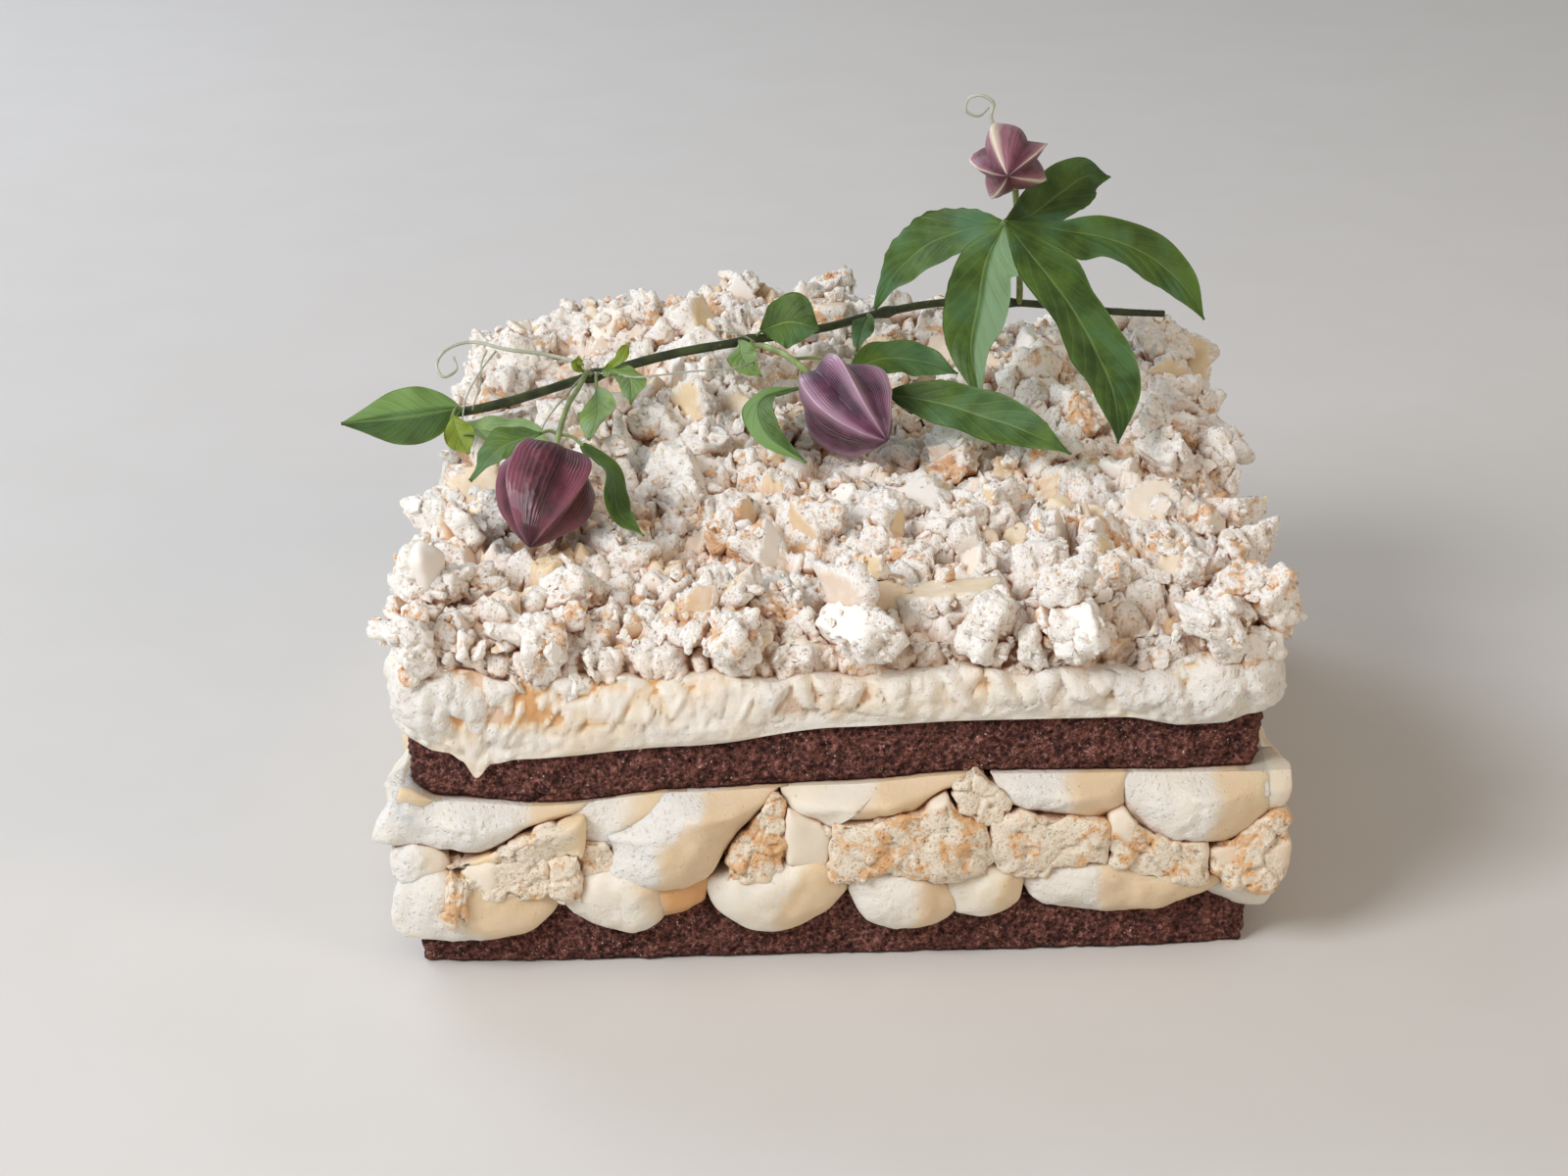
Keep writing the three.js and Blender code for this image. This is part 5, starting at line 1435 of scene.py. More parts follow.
def buildHeapCore():
    cells, wall = heap["coreCells"], heap["wallCells"]
    total = cells + 2 * wall
    step = np.arange(total + 1)
    spread = (step - total / 2) / (cells / 2)
    v, u = np.meshgrid(spread, spread, indexing="ij")
    over = np.maximum(np.abs(u), np.abs(v))
    edge = np.maximum(over, 1.0)
    x, y = planPoint((u / edge).ravel(), (v / edge).ravel())
    fall = ((edge - 1) / (wall / (cells / 2))).ravel()
    outward = unit(np.stack([(u / edge).ravel() ** 9, (v / edge).ravel() ** 9], axis=1) + 1e-9)
    top = np.maximum(heapHeight(x, y) - heap["coreDepth"], heapFoot(x, y) + 3)
    z = top + (heapFoot(x, y) - 1.5 - top) * np.clip(fall * 1.15, 0, 1)
    bulge = 1.2 * np.sin(np.clip(fall, 0, 1) * math.pi) - 4.0 * blendFrom(0.8, 1.0, fall) - 1.6
    onEdge = blendFrom(0.93, 1.0, over.ravel())
    flat = np.column_stack([x, y]) + outward * (bulge * onEdge)[:, None]
    place = np.column_stack([flat, z])
    relief, tone, otherTone = coreRelief(place)
    relief = relief * blendFrom(1.0, 0.85, fall)
    place[:, 2] += relief * (1 - 0.75 * onEdge)
    place[:, :2] += outward * (relief * onEdge)[:, None] * 0.8
    shape = Shape(("shell", "tone", "deep"))
    level = heapHeight(x, y)
    # below the heap's surface and in the relief's hollows: painted caramel as painted shade
    deep = blendFrom(-3.2, -8.0, place[:, 2] - level) * (1 - 0.6 * onEdge)
    shell = ((otherTone > 0.74) & (fall < 0.1)) * 0.85
    deep = np.maximum(deep, 0.8 * blendFrom(-0.5, -3.2, relief))
    tone = np.where(shell > 0, tone, 0.35 * tone)
    size = total + 1
    faces = gridFaces(size, size, False)
    rim = np.concatenate([
        np.arange(size), size * np.arange(1, size) + size - 1,
        size * size - 2 - np.arange(size - 1), size * np.arange(size - 2, 0, -1)])
    points = np.concatenate([place, [[0, 0, float(heapFoot(0.0, 0.0))]]])
    sole = np.stack([np.roll(rim, -1), rim, np.full(len(rim), len(place))], axis=1)
    shape.add(points, [faces, sole],
              shell=np.append(shell, 0.0), tone=np.append(tone, 0.5), deep=np.append(deep, 1.0))
    return shape.piece("heapCrumb", materials["meringue"], "meringue", ("meringue_heap",))


print("heap")
heapCore = buildHeapCore()


# Flowering vine

vine = {
    "stem": {"radius": 1.25, "points": [
        (-103, 11, 94), (-87, 14, 96.5), (-64, 26.5, 100), (-44, 35.5, 103), (-23.4, 41.5, 105),
        (-4, 51, 105.5), (13, 67, 105), (30, 81, 103.4), (52, 85, 102), (76, 81, 101), (90, 84, 99.5)]},
    "stalks": {
        # from inside the stem to inside what they carry
        "bud_left": (0.7, [
            (-64.6, 26, 100), (-65, 22, 102.6), (-66, 2, 105), (-67, -26, 109), (-68, -46.8, 107),
            (-68.2, -49, 105)]),
        "bud_middle": (0.8, [
            (-23, 41.4, 105), (-22.2, 37.4, 105), (-19.5, 26, 108.5), (-12, 11, 110), (-7, 4.6, 107.6),
            (-5, 2.5, 106.2)]),
        "bud_top": (0.9, [
            (50, 84.6, 102.2), (50, 84, 106), (49, 80, 124), (47, 71, 142), (45.9, 60.5, 151),
            (45.5, 57, 151.6)]),
        "lobed_leaf": (1.0, [
            (41.5, 83.1, 102.8), (41.5, 81.2, 106), (41.5, 70, 124), (42, 54, 133), (42.8, 44.4, 135.6),
            (43.3, 40.6, 137.6)]),
    },
    "leafStalks": [  # short ones, from the stem or a bud's stalk to a leaf
        [(-96.5, 12, 95.2), (-97, 10.4, 96.2), (-97.6, 8.8, 97)],
        [(-99, 11.6, 94.6), (-99.4, 10.2, 92.6), (-98.6, 8.4, 91.2)],
        [(-97, 12, 95), (-97.6, 4, 98.8), (-98, -3.4, 98.8)],
        [(-62.6, 27, 100.3), (-62.6, 18, 103), (-62, 9.4, 101.5)],
        [(-61.6, 27.7, 100.4), (-61.2, 25.6, 101.6), (-60.8, 23, 102.4)],
        [(-68, -42, 108), (-70, -41.8, 108.8), (-72.4, -42.6, 108.3)],
        [(-67.6, -42, 108), (-64.6, -42.6, 107.6), (-61.7, -44.4, 105.8)],
        [(-21.6, 42.3, 105.1), (-21.2, 41.4, 106.8), (-20, 40.4, 108.2)],
        [(-25, 40.9, 104.9), (-26, 39, 105.6), (-25.9, 37, 105.4)],
        [(8, 62.2, 105.1), (8.2, 60.4, 106.4), (7.9, 58, 106.5)],
        [(-9, 7.4, 108.8), (-9.8, 7.4, 106.4), (-9.4, 6.2, 103.8)],
        [(-12, 11, 110), (-4, 14.4, 109), (3.6, 14.2, 106)],
        [(-7, 4.8, 107.6), (4, 8.4, 106), (13.6, 2.8, 103.4)],
    ],
    "leafStalkRadius": 0.45,
    "tendrils": {
        "left": [
            (-66, 25.6, 99.8), (-67.5, 28, 102.4), (-76, 30, 104.5), (-86, 29.5, 106), (-96.5, 32, 107.3),
            (-102.6, 29.3, 106), (-104.6, 24, 103.5), (-102.5, 20.5, 101.5), (-99.4, 23, 102.6),
            (-100.4, 27, 104.8)],
        "top": [
            (46.9, 69.5, 143.6), (47.4, 68, 148), (45.5, 62, 152.5), (42, 59, 157), (39.8, 58, 161.4),
            (40.3, 58, 165.2), (37.2, 57.5, 167.4), (33.8, 57, 166.6), (33.2, 57, 163.4), (36.6, 58, 161.8),
            (39.2, 59.5, 163.6)],
    },
    "strands": [  # too thin for the solid model
        [(-92, 30, 105.6), (-92.9, 26, 104), (-92.7, 17.8, 101), (-93.9, 7.7, 97)],
        [(-89.6, 30, 105.4), (-92, 22, 104), (-95.3, 12.9, 100), (-95.6, 0, 97.5), (-95, -6.1, 95)],
        [(-64, 26, 101), (-58, 18.5, 103), (-51.8, 13.5, 104), (-39.3, 16.1, 104.6), (-26, 17.6, 105.4),
         (-21, 26, 104.6)],
        [(-64, 25.5, 101), (-65.5, 17, 103.4), (-70, 2.5, 102), (-74, -11.5, 99.6), (-75, -17, 97)],
        [(-22, 39.5, 105), (-23.5, 34, 108), (-27, 31, 110.5), (-31, 32, 111)],
    ],
    "strandRadius": 0.3,
    "tendrilRadius": 0.55,
    "nodes": [(-64, 26.5), (-23.4, 41.5), (13, 67), (46, 84)],  # where leaves and stalks leave the stem
}
buds = {
    # base, tip, radius, twist, roll, material
    "bud_left": ((-68, -48, 105.5), (-72.8, -72, 90.5), 12.6, 0.35, 0.3, "bud"),
    "bud_middle": ((-5.5, 3, 106.5), (12, -21, 99.5), 13.2, 0.5, 0.9, "middleBud"),
    "bud_top": ((45.5, 58, 151.5), (43.6, 38, 151), 11, 0.2, 0.4, "topBud"),
}
budShape = {
    "profile": [(0, 0.34), (0.1, 0.78), (0.25, 0.99), (0.45, 1), (0.66, 0.8), (0.87, 0.4), (1, 0.05)],
    "pleats": 5,
    "pleatDepth": 0.4,
    "rows": 60,
    "around": 140,
    "pucker": 0.55,
}
facing = (0, -0.8, 0.6)
leaves = {
    # node: middle line, width, the way its upper side looks, and what differs from a plain leaf
    "leaf_left_end": ([(-97, 9, 97), (-110, 5, 96), (-127, 2, 95)], 17, (0, -0.95, 0.3), {"fold": -0.5}),
    "leaf_left_low": ([(-99, 9, 91), (-90, -3, 95.2), (-79, -14, 97), (-71, -20, 96.4)], 13,
                      (0.1, -0.4, 0.9), {}),
    "leaf_pale": ([(-62, 10, 101.5), (-60.5, -6, 100), (-62, -22, 99.5)], 10, (-0.4, -0.5, 0.8), {}),
    "leaflet_left": ([(-61, 23.5, 102.5), (-54, 15, 103), (-53, 4, 100)], 9, (0.3, -0.5, 0.8), {}),
    "bract_left": ([(-72, -42.5, 108.5), (-82, -44, 104.5), (-89, -48, 98)], 11, (-0.4, -0.4, 0.8), {}),
    "bract_right": ([(-62, -44, 106), (-54.5, -54, 102), (-52.5, -64, 96), (-46, -70, 92.6)], 9,
                    (0.7, -0.5, 0.5), {}),
    "leaf_round": ([(-20.5, 40.5, 108), (-13, 39, 110.8), (-5, 37, 109.5)], 16, facing, {"widest": 0.55}),
    "leaflet_middle": ([(-26, 37.5, 105.5), (-24.5, 28, 104), (-20, 19, 102.6)], 8, (-0.4, -0.5, 0.8), {}),
    "leaf_small": ([(8, 58.5, 106.6), (6.4, 48, 105.6), (4.8, 36, 103.8)], 6, facing, {}),
    "bract_middle": ([(-9, 6.5, 104), (-19, 0, 102.5), (-17, -16, 99), (-8, -27, 95.6)], 9,
                     (-0.6, -0.4, 0.7), {}),
    "leaf_upper": ([(3, 14, 106), (12, 20, 107), (22, 22, 105.5), (31, 19, 103.5)], 12, (0.1, -0.6, 0.8), {}),
    "leaf_long": ([(13, 3, 103.5), (25, -2, 102.5), (37, -8, 101), (48, -15, 99.2), (57.5, -25, 97.4)], 15,
                  (0, -0.65, 0.75), {}),
}
smallLeaves = [  # middle line and width, too small for the solid model
    ([(-98, -3, 99), (-96, -6, 95), (-93.5, -8, 90.5)], 8),
    ([(-60.6, 24, 102.5), (-56.5, 22, 106.5), (-54.4, 25, 109.5)], 3.4),
    ([(-66, 23.5, 102), (-67.5, 19, 105.5), (-67, 18, 108)], 3.2),
]
reflectingHalves = {"leaf_left_end": -1, "bract_middle": -1}  # blades with one half painted in the underside colour as a painted reflection
youngLeaves = {  # material and slot of the blades that aren't of the common green
    "leaf_left_low": ("paleLeaf", "leaf"),
    "leaf_pale": ("paleLeaf", "pale_leaf"),
    "leaflet_left": ("paleLeaf", "pale_leaf"),
    "leaflet_middle": ("paleLeaf", "pale_leaf"),
}
lobes = [
    ([(44, 41, 137.5), (34, 46, 134.5), (23, 50, 128.5), (15, 53, 120), (9.8, 55, 109.5)], 15.5,
     (-0.45, -0.65, 0.6)),
    ([(43.5, 40, 138), (38.5, 34, 130.2), (36, 24, 120.8), (34, 15, 111.5), (36.2, 5, 101)], 17,
     (-0.15, -0.85, 0.5)),
    ([(43, 40, 138), (51, 33, 129.5), (61, 20, 119), (67.5, 4, 109.5), (69.5, -8, 104.3), (69.4, -21, 99)],
     19,
     (0.35, -0.7, 0.6)),
    ([(43, 41, 138), (58, 45, 134.5), (72, 48, 131), (84, 50, 124.5), (92, 49, 117), (97, 47, 109.5)], 14,
     (0.3, -0.75, 0.6)),
    ([(43, 41, 138), (50, 51, 136.6), (59, 61.5, 140), (66, 70, 142), (73, 76, 140.5)], 15, (0.1, -0.8, 0.6)),
]
leafShape = {
    "rows": 44,
    "columns": 25,
    "thickness": 0.55,
    "quilt": 0.14,  # how far the blade puffs up between its side veins
    "veinPairs": 8,
    "veinSlant": 0.3,
    "waver": 0.5,
    "web": 0.26,  # share of their length over which neighbouring lobes are joined
}
vineParts = []


def tube(shape, points, radius, rows, around, endSize, swellings):
    shares = np.linspace(0, 1, rows)
    path = curveAt(points, shares)
    forward = unit(np.gradient(path, axis=0))
    side = np.cross(forward[0], [0.2, 0.1, 1.0])
    rings, alongs, arounds = [], [], []
    theta = 2 * math.pi * np.arange(around) / around
    for row in range(rows):
        side = side - forward[row] * (side @ forward[row])
        side = side / np.linalg.norm(side)
        up = np.cross(forward[row], side)
        r = radius * (1 - (1 - endSize) * shares[row] ** 2)
        for place in swellings:
            near = np.linalg.norm(path[row][:2] - np.array(place))
            r *= 1 + 0.55 * math.exp(-(near / 2.2) ** 2)
        wobble = 1 + 0.07 * softNoise(path[row] + theta[:, None] * 2.0, 3.0, 83)
        turned = np.cos(theta)[:, None] * side + np.sin(theta)[:, None] * up
        rings.append(path[row] + (r * wobble)[:, None] * turned)
        alongs.append(np.full(around, shares[row]))
        arounds.append(np.abs(theta - math.pi))
    points = np.concatenate(rings + [path[:1] - forward[:1] * 0.15, path[-1:] + forward[-1:] * 0.3])
    shape.add(points, closedFaces(rows, around),
              along=np.concatenate(alongs + [[0.0, 1.0]]), around=np.concatenate(arounds + [[0.0, 0.0]]))


def leafSheet(points, width, face, fold=0.2, widest=0.45, wave=0.8, teeth=0.0, detail=None):
    # the middle surface of a blade, with the direction it looks
    rows, columns = detail or (leafShape["rows"], leafShape["columns"])
    t = np.linspace(0, 1, rows)
    centre = curveAt(points, t)
    forward = unit(np.gradient(centre, axis=0))
    across = unit(np.cross(unit(np.array(face, float)), forward))
    normal = np.cross(forward, across)
    share = np.sin(math.pi * t ** (math.log(0.5) / math.log(widest))) ** 0.8
    share = share * (1 - 0.35 * blendFrom(0.6, 1.0, t))
    half = np.maximum(0.35, width / 2 * share)
    s = np.linspace(-1, 1, columns)[None, :]
    t = t[:, None]
    bent = (t - leafShape["veinSlant"] * np.abs(s) ** 0.8) * leafShape["veinPairs"]
    quilt = leafShape["quilt"] * np.cos(2 * math.pi * bent) * -np.abs(s) * (1 - np.abs(s)) * 4
    half = half[:, None] * (1 + teeth * (s < 0) * (0.5 - np.abs((t * 13) % 1 - 0.5)) * np.abs(s) ** 4)
    lift = np.abs(s) * half * math.sin(fold) + wave * s * np.abs(s) * np.sin(9 * t + 1)
    frill = 0.5 * np.abs(s) ** 3 * np.sin(23 * t + 2 * s)
    lift = lift + quilt * np.minimum(1, half / 5) + frill * np.minimum(1, half / 6)
    grid = centre[:, None] + across[:, None] * (s * half * math.cos(fold))[..., None]
    grid = grid + normal[:, None] * lift[..., None]
    noise = leafShape["waver"] * softNoise(grid.reshape(-1, 3), 9.0, 91).reshape(rows, columns)
    return grid + normal[:, None] * noise[..., None] * np.sin(math.pi * t)[..., None]


def addBlade(shape, grid, reflectingSide=0):
    rows, columns = grid.shape[:2]
    along = np.gradient(grid, axis=0)
    across = np.gradient(grid, axis=1)
    normal = unit(np.cross(along, across))
    s = np.linspace(-1, 1, columns)[None, :]
    t = np.linspace(0, 1, rows)[:, None]
    thick = leafShape["thickness"] / 2 * (1 - 0.75 * np.abs(s) ** 3)
    rib = 0.35 * np.exp(-(s / 0.07) ** 2) * (1 - 0.7 * t)  # stands out below
    above = grid + normal * (thick - 0.4 * rib)[..., None]
    below = grid - normal * (thick + rib)[..., None]
    points = np.concatenate([above.reshape(-1, 3), below.reshape(-1, 3)])
    under = rows * columns
    face = gridFaces(rows, columns, False)
    rim = []
    for line, turned in ((np.arange(columns), True), (np.arange(columns) + (rows - 1) * columns, False),
                         (np.arange(rows) * columns, False), (np.arange(rows) * columns + columns - 1, True)):
        a, b = line[:-1], line[1:]
        quad = np.stack([a, b, b + under, a + under], axis=1)
        rim.append(quad if not turned else quad[:, ::-1])
    alongValue = np.broadcast_to(t, (rows, columns)).ravel()
    acrossValue = np.broadcast_to(s, (rows, columns)).ravel()
    # on the reflecting side the upper surface takes the underside colour: painted reflection
    upper = 1 - 0.75 * blendFrom(0.1, 0.25, acrossValue * reflectingSide)
    shape.add(points, [face[:, ::-1], face + under] + rim, along=np.tile(alongValue, 2),
              across=np.tile(acrossValue, 2), upper=np.concatenate([upper, np.zeros(under)]))


def addTubes(name, material, slot, replaced, paths, radius, rows, around, endSize, swellings=()):
    shape = Shape(("along", "around"))
    for points in paths:
        tube(shape, points, radius, rows, around, endSize, swellings)
    vineParts.append(shape.piece(name, materials[material], slot, replaced))


def buildVine():
    stem = vine["stem"]
    addTubes("vineStem", "stem", "stem", ("stem",), [stem["points"]], stem["radius"], 190, 16, 0.75,
             vine["nodes"])
    for name, (radius, points) in vine["stalks"].items():
        node = "stalk_" + name
        addTubes(node + "_real", "stalk", "stalk", (node,), [points], radius, 44, 12, 1.1)
    addTubes("leafStalks", "stalk", "stalk", (), vine["leafStalks"], vine["leafStalkRadius"], 24, 8, 0.9)
    for name, points in vine["tendrils"].items():
        node = "tendril_" + name
        addTubes(node + "_real", "tendril", "stalk", (node,), [points], vine["tendrilRadius"], 110, 8, 0.6)
    addTubes("thinStrands", "tendril", "stalk", (), vine["strands"], vine["strandRadius"], 50, 7, 0.6)
    smallest = Shape(("along", "across", "upper"))
    for points, width in smallLeaves:
        addBlade(smallest, leafSheet(points, width, facing, detail=(24, 13), widest=0.55))
    vineParts.append(smallest.piece("smallestLeaves", materials["yellowLeaf"], "leaf"))
    for node, (points, width, face, other) in leaves.items():
        blade = Shape(("along", "across", "upper"))
        addBlade(blade, leafSheet(points, width, face, **other), reflectingHalves.get(node, 0))
        material, slot = youngLeaves.get(node, ("leaf", "leaf"))
        vineParts.append(blade.piece(node + "_real", materials[material], slot, (node,)))


def buildLobedLeaf():
    detail = (64, 31)
    sheets = [leafSheet(points, width, face, widest=0.52, teeth=0.16 if number == 0 else 0.05, detail=detail)
              for number, (points, width, face) in enumerate(lobes)]
    t = np.linspace(0, 1, detail[0])[:, None]
    s = np.linspace(-1, 1, detail[1])[None, :]
    joined = blendFrom(leafShape["web"] + 0.1, leafShape["web"], t)
    for left, right in zip(sheets, sheets[1:]):
        middle = (left[:, -1] + right[:, 0]) / 2
        toLeft, toRight = middle - left[:, -1], middle - right[:, 0]
        left += toLeft[:, None] * (joined * np.clip(s, 0, 1) ** 1.6)[..., None]
        right += toRight[:, None] * (joined * np.clip(-s, 0, 1) ** 1.6)[..., None]
    blade = Shape(("along", "across", "upper"))
    for number, sheet in enumerate(sheets):
        # the second lobe's right half is painted as reflecting light
        addBlade(blade, sheet, 1 if number == 1 else 0)
    vineParts.append(blade.piece("lobedLeafBlade", materials["lobedLeaf"], "leaf", ("leaf_five_lobed",)))


def buildBud(name, base, tip, radius, twist, roll, material):
    look = budShape
    bud = Shape(("rise", "ridge", "around"))
    axis = Vector(tip) - Vector(base)
    length = axis.length
    turn = np.array(Vector((0, 0, 1)).rotation_difference(axis.normalized()).to_matrix()
                    @ Matrix.Rotation(roll, 3, "Z"))
    xs, shares = zip(*look["profile"])
    rises = (1 - np.cos(np.linspace(0, math.pi, look["rows"]))) / 2
    theta = 2 * math.pi * np.arange(look["around"]) / look["around"]
    pleat = 2 * math.pi / look["pleats"]
    rings, rows = [], []
    stations = np.interp(rises, xs, np.linspace(0, 1, len(xs)))
    smooth = curveAt(list(zip(xs, shares, [0] * len(xs))), stations)[:, 1]
    uneven = theta + 0.22 * np.sin(2 * theta + len(name)) + 0.1 * np.sin(3 * theta)
    for rise, share in zip(rises, smooth):
        fromRidge = np.abs((uneven + pleat / 2) % pleat - pleat / 2) / (pleat / 2)
        flank = fromRidge ** 0.75
        full = 0.35 + 0.65 * math.sin(math.pi * min(1, rise + 0.12)) ** 0.5
        r = radius * share * (1 - look["pleatDepth"] * flank * full)
        angle = theta + twist * rise
        ring = np.column_stack([r * np.cos(angle), r * np.sin(angle), np.full(len(theta), length * rise)])
        pucker = look["pucker"] * layeredNoise(ring * np.array([1, 1, 0.45]), 4.5, 2, 97 + len(name))
        pucker = pucker * min(1, 3 * rise) * share
        rings.append(ring + unit(ring * np.array([1, 1, 0])) * pucker[:, None])
        rows.append((np.full(len(theta), rise), 1 - fromRidge, fromRidge * pleat / 2))
    points = np.concatenate(rings + [[[0, 0, 0]], [[0, 0, length * 1.01]]]) @ turn.T + np.array(base)
    ends = ([0.0, 1.0], [0.5, 0.5], [0.2, 0.5])
    values = [np.concatenate([row[k] for row in rows] + [ends[k]]) for k in range(3)]
    bud.add(points, closedFaces(look["rows"], look["around"]), rise=values[0], ridge=values[1],
            around=values[2])
    vineParts.append(bud.piece(name + "_real", materials[material], "bud", (name,)))


print("vine")
buildVine()
buildLobedLeaf()
for budName, budValues in buds.items():
    buildBud(budName, *budValues)


# Loose meringue over the core

loose = {
    "bigPoints": 1185,
    "bigSlab": 0.9, "bigKnob": 0.86, "tallest": 7.5,
    "middle": {"count": 250, "points": 380, "half": (2.6, 7.8), "flat": 0.55, "seed": 701, "sink": 0.45},
    "small": {"count": 560, "points": 70, "half": (1.0, 2.5), "flat": 0.55, "seed": 733, "sink": 0.36},
    "crumbs": {"count": 1500, "points": 14, "half": (0.4, 1.0), "flat": 0.7, "seed": 771, "sink": 0.25},
    "wallShare": 0.3,
    "wallHalf": 4.6,
    "footing": 0.6,
    "props": [  # middle and half size, under the two pieces that stand out at the front's corners
        ((-94.5, -90.5, 86.0), (5.2, 4.6, 5.4)), ((-90.5, -89.5, 87.5), (4.2, 3.8, 4.4)),
        ((90.5, -88.5, 82.5), (4.6, 4.2, 3.8))],
    "propPoints": 700,
    "standOff": {"lying": 0.5, "leaning": 0.1},  # share of a piece's size, less its sink
    "vineRoom": 0.6,
}


class Ground:
    # what the next pieces come to lie on
    def __init__(self):
        self.points, self.faces, self.count = [], [], 0

    def take(self, shapes):
        for made in shapes:
            mesh = made.data
            at = np.empty(len(mesh.vertices) * 3, np.float32)
            mesh.vertices.foreach_get("co", at)
            mesh.calc_loop_triangles()
            triangles = np.empty(len(mesh.loop_triangles) * 3, np.int32)
            mesh.loop_triangles.foreach_get("vertices", triangles)
            self.points.append(at.reshape(-1, 3) / toMetres)
            self.faces.append(triangles.reshape(-1, 3) + self.count)
            self.count += len(mesh.vertices)
        points, faces = np.concatenate(self.points), np.concatenate(self.faces)
        self.tree = BVHTree.FromPolygons(points.tolist(), faces.tolist())

    def fall(self, x, y):
        return self.tree.ray_cast(Vector((x, y, 170)), Vector((0, 0, -1)))

    def inwards(self, side, along, z):
        start, end = fromSide(side, np.array([[along, -25.0, z], [along, 30.0, z]]))
        return self.tree.ray_cast(Vector(start), Vector(end - start).normalized())


def nearVine(tree, place, room):
    found = tree.find_nearest(Vector(place), room)
    return found[0] is not None


vineGround = Ground()
vineGround.take(vineParts)


def buildBigPieces():
    shape = Shape(("shell", "tone", "deep"))
    tones = randomFrom(59)
    kept = 0
    allPieces = heapPieces()
    for number, piece in enumerate(allPieces):
        tone = tones()
        if nearVine(vineGround.tree, piece["place"], piece["size"] * heap["clearance"] + 1):
            continue
        share = loose["bigKnob"] if piece["knob"] else loose["bigSlab"]
        half = piece["size"] * np.array(piece["stretch"]) * share
        kind = "knob" if number == len(allPieces) - 2 else ("slab" if number % 3 else "lump")
        turn = spinMatrix(piece["spin"])
        half = half * min(1.0, loose["tallest"] / np.linalg.norm(turn[2] * half))
        shard(shape, piece["place"], half, turn, 900 + number, loose["bigPoints"], kind,
              tone if kind == "slab" else 0.5 * tone)
        kept += 1
    for number, (place, half) in enumerate(loose["props"]):
        turn = spinMatrix((0.3, 0.2, 1.1 * number))
        shard(shape, np.array(place), np.array(half), turn, 980 + number, loose["propPoints"], "lump", 0.2)
    print("big pieces", kept)
    return shape.piece("heapChunks", materials["meringue"], "meringue")


def restingHeight(ground, place, size):
    # as low as what is round a piece lets it lie, so that it doesn't balance on one tip
    around = [ground.fall(place[0] + loose["footing"] * size * x, place[1] + loose["footing"] * size * y)[0]
              for x, y in ((1, 0), (-1, 0), (0, 1), (0, -1))]
    heights = [point[2] for point in around if point is not None]
    return min(place[2], sum(heights) / len(heights) + 0.25 * size) if heights else place[2]


def scatter(name, look, ground):
    # pieces of one size, let down on the heap or leant on its sides
    draw = randomFrom(look["seed"])
    shape = Shape(("shell", "tone", "deep"))
    least, most = look["half"]
    placed = 0
    while placed < look["count"]:
        onWall = draw() < loose["wallShare"]
        size = least + (most - least) * draw() ** 1.8
        if onWall:
            size = min(size, loose["wallHalf"])
            side = cakeSides[int(draw() * 4)]
            along = (2 * draw() - 1) * (side["half"] + 1)
            hit = ground.inwards(side, along, 75 + 12 * draw())
        else:
            x, y = planPoint(2 * draw() - 1, 2 * draw() - 1)
            size = min(size, 2.8 + 0.6 * float(insideBy(x, y)))
            hit = ground.fall(x, y)
        spin = [2 * math.pi * draw() for _ in range(3)]
        stretch = [1.25, 0.9 + 0.2 * draw(), look["flat"] * (0.7 + 0.5 * draw())]
        seed, tone = int(draw() * 1e6), draw()
        placed += 1
        if hit[0] is None:
            continue
        standOff = loose["standOff"]["leaning" if onWall else "lying"]
        place = np.array(hit[0] + hit[1] * size * (standOff - look["sink"]))
        if not onWall:
            place[2] = restingHeight(ground, place, size)
        if nearVine(vineGround.tree, place, size * 1.2 + loose["vineRoom"]):
            continue
        kind = ("slab", "lump", "slab", "lump", "lump")[seed % 5]
        tone = tone if kind == "slab" else 0.45 * tone
        shard(shape, place, size * np.array(stretch), spinMatrix(spin), seed, look["points"], kind, tone)
    return shape.piece(name, materials["meringue"], "meringue", smooth=look["points"] > 100)


heapGround = Ground()
bigPieces = buildBigPieces()
heapGround.take([heapCore, bigPieces])
middlePieces = scatter("heapPieces", loose["middle"], heapGround)
heapGround.take([middlePieces])
smallPieces = scatter("heapBits", loose["small"], heapGround)
heapGround.take([smallPieces])
scatter("heapCrumbs", loose["crumbs"], heapGround)


# Floor, light and camera

studio = {
    "floor": "#d9d6d0",
    "floorGrain": "#ffffff",
    "floorReach": 3000.0, "floorDrop": 0.4,  # millimetres
    "world": "#e9e8e6", "worldStrength": 0.4,
    "lampsLookAt": (0, 0, 0.06),
    "key": {"place": (-1.0, -0.9, 1.0), "size": 0.8, "power": 21.0, "colour": "#f6f8ff"},
    "fill": {"place": (1.2, -0.9, 0.8), "size": 0.8, "power": 5.0, "colour": "#ffdcb8"},
    "back": {"place": (-0.8, 0.9, 0.8), "size": 0.8, "power": 6.5, "colour": "#e2ecff"},
    "azimuth": 0.8, "elevation": 22.0, "distance": 0.893, "lens": 80.1, "target": (-0.0136, -0.011, 0.0556),
}


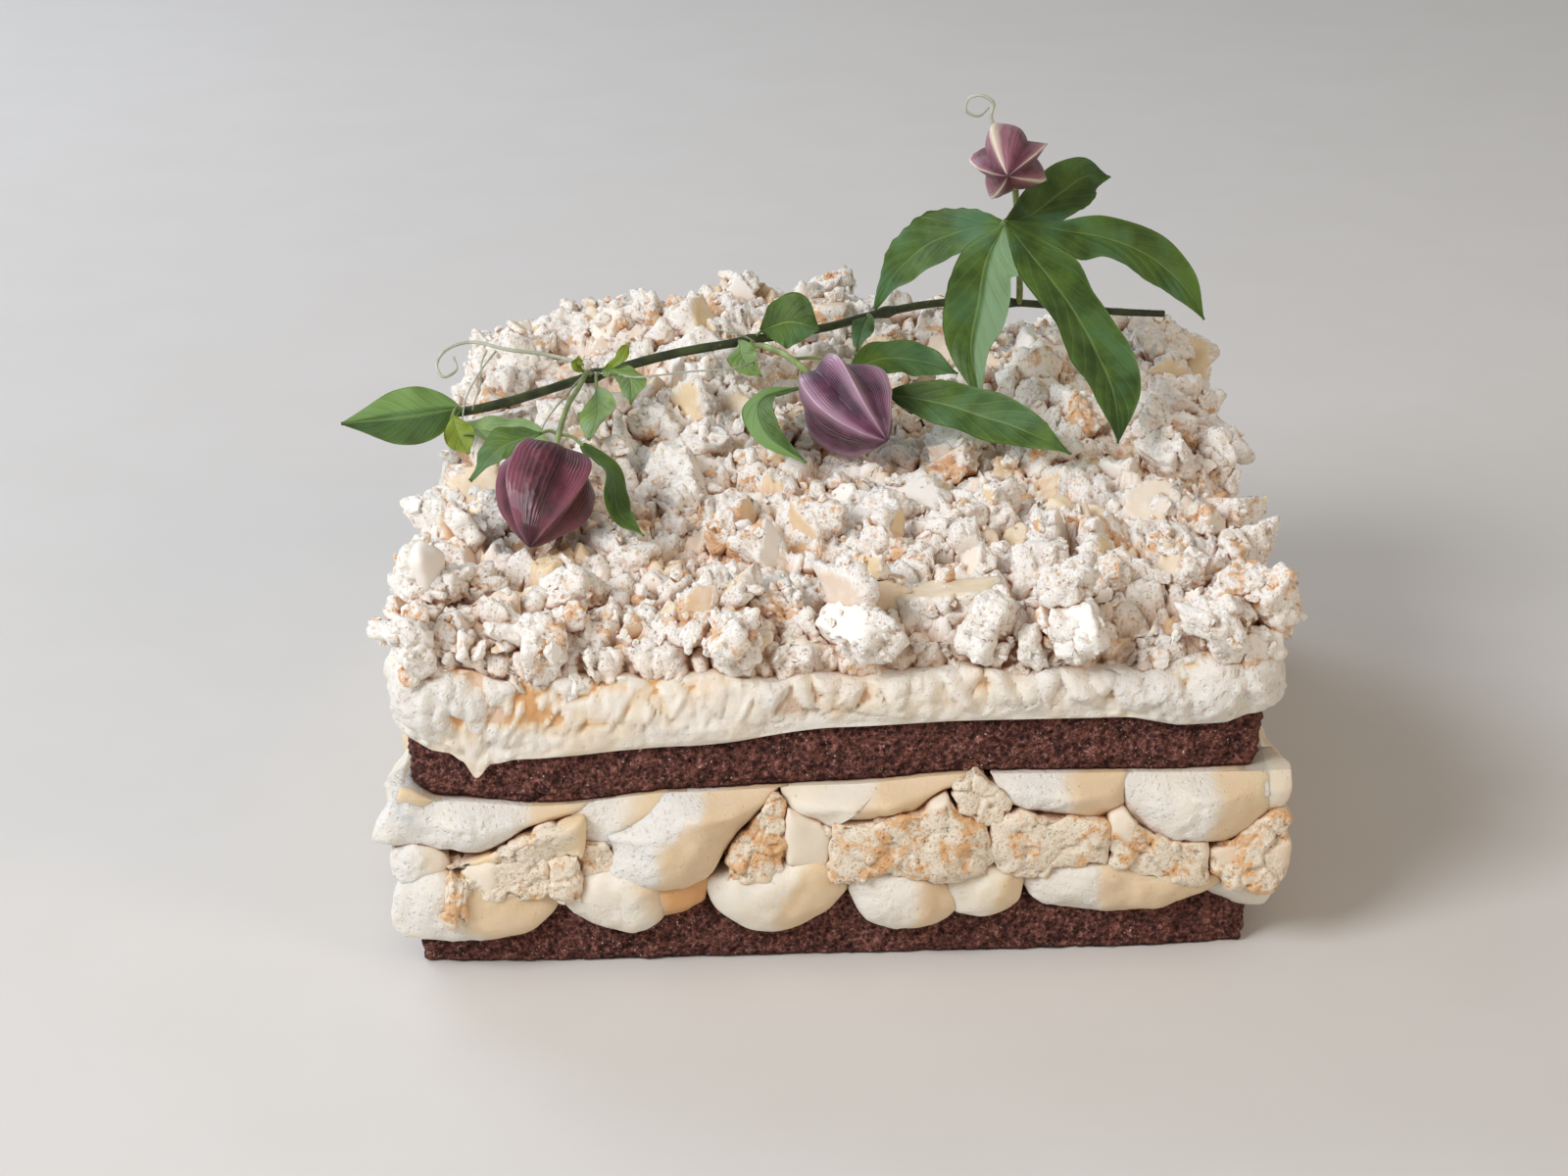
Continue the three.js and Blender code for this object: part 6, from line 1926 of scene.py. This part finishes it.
def buildStudio():
    reach, drop = studio["floorReach"], studio["floorDrop"]
    corners = np.array([[x * reach, y * reach, -drop] for x, y in ((-1, -1), (1, -1), (1, 1), (-1, 1))])
    mesh = bpy.data.meshes.new("floor")
    mesh.from_pydata((corners * toMetres).tolist(), [], [(0, 1, 2, 3)])
    material, bench, shader = newMaterial("paleFloor", 0.8, 0.2)
    grain = bench.noise(bench.place(), 40.0, 2.0)
    colour = bench.mix(bench.range(grain, 0.3, 0.7, 0.0, 0.04), studio["floor"], studio["floorGrain"])
    bench.set(shader.inputs["Base Color"], colour)
    mesh.materials.append(material)
    floor = bpy.data.objects.new("floor", mesh)
    bpy.context.scene.collection.objects.link(floor)
    world = bpy.data.worlds.new("softRoom")
    world.use_nodes = True
    background = world.node_tree.nodes["Background"]
    background.inputs["Color"].default_value = linear(studio["world"])
    background.inputs["Strength"].default_value = studio["worldStrength"]
    bpy.context.scene.world = world
    middle = Vector(studio["lampsLookAt"])
    for name in ("key", "fill", "back"):
        look = studio[name]
        light = bpy.data.lights.new(name, "AREA")
        light.shape = "DISK"
        light.size, light.energy, light.color = look["size"], look["power"], linear(look["colour"])[:3]
        lamp = bpy.data.objects.new(name, light)
        lamp.location = look["place"]
        lamp.rotation_euler = (middle - Vector(look["place"])).to_track_quat("-Z", "Y").to_euler()
        bpy.context.scene.collection.objects.link(lamp)


def buildCamera():
    azimuth, elevation = math.radians(studio["azimuth"]), math.radians(studio["elevation"])
    level = math.cos(elevation)
    away = Vector((math.sin(azimuth) * level, -math.cos(azimuth) * level, math.sin(elevation)))
    lens = bpy.data.cameras.new("camera")
    lens.lens, lens.sensor_width = studio["lens"], 36.0
    lens.clip_start, lens.clip_end = 0.01, 20.0
    camera = bpy.data.objects.new("camera", lens)
    camera.location = Vector(studio["target"]) + away * studio["distance"]
    camera.rotation_euler = (-away).to_track_quat("-Z", "Y").to_euler()
    bpy.context.scene.collection.objects.link(camera)
    bpy.context.scene.camera = camera


buildStudio()
buildCamera()
bpy.context.scene.view_settings.view_transform = "Standard"
bpy.context.scene.view_settings.exposure = 0.0
print("studio")
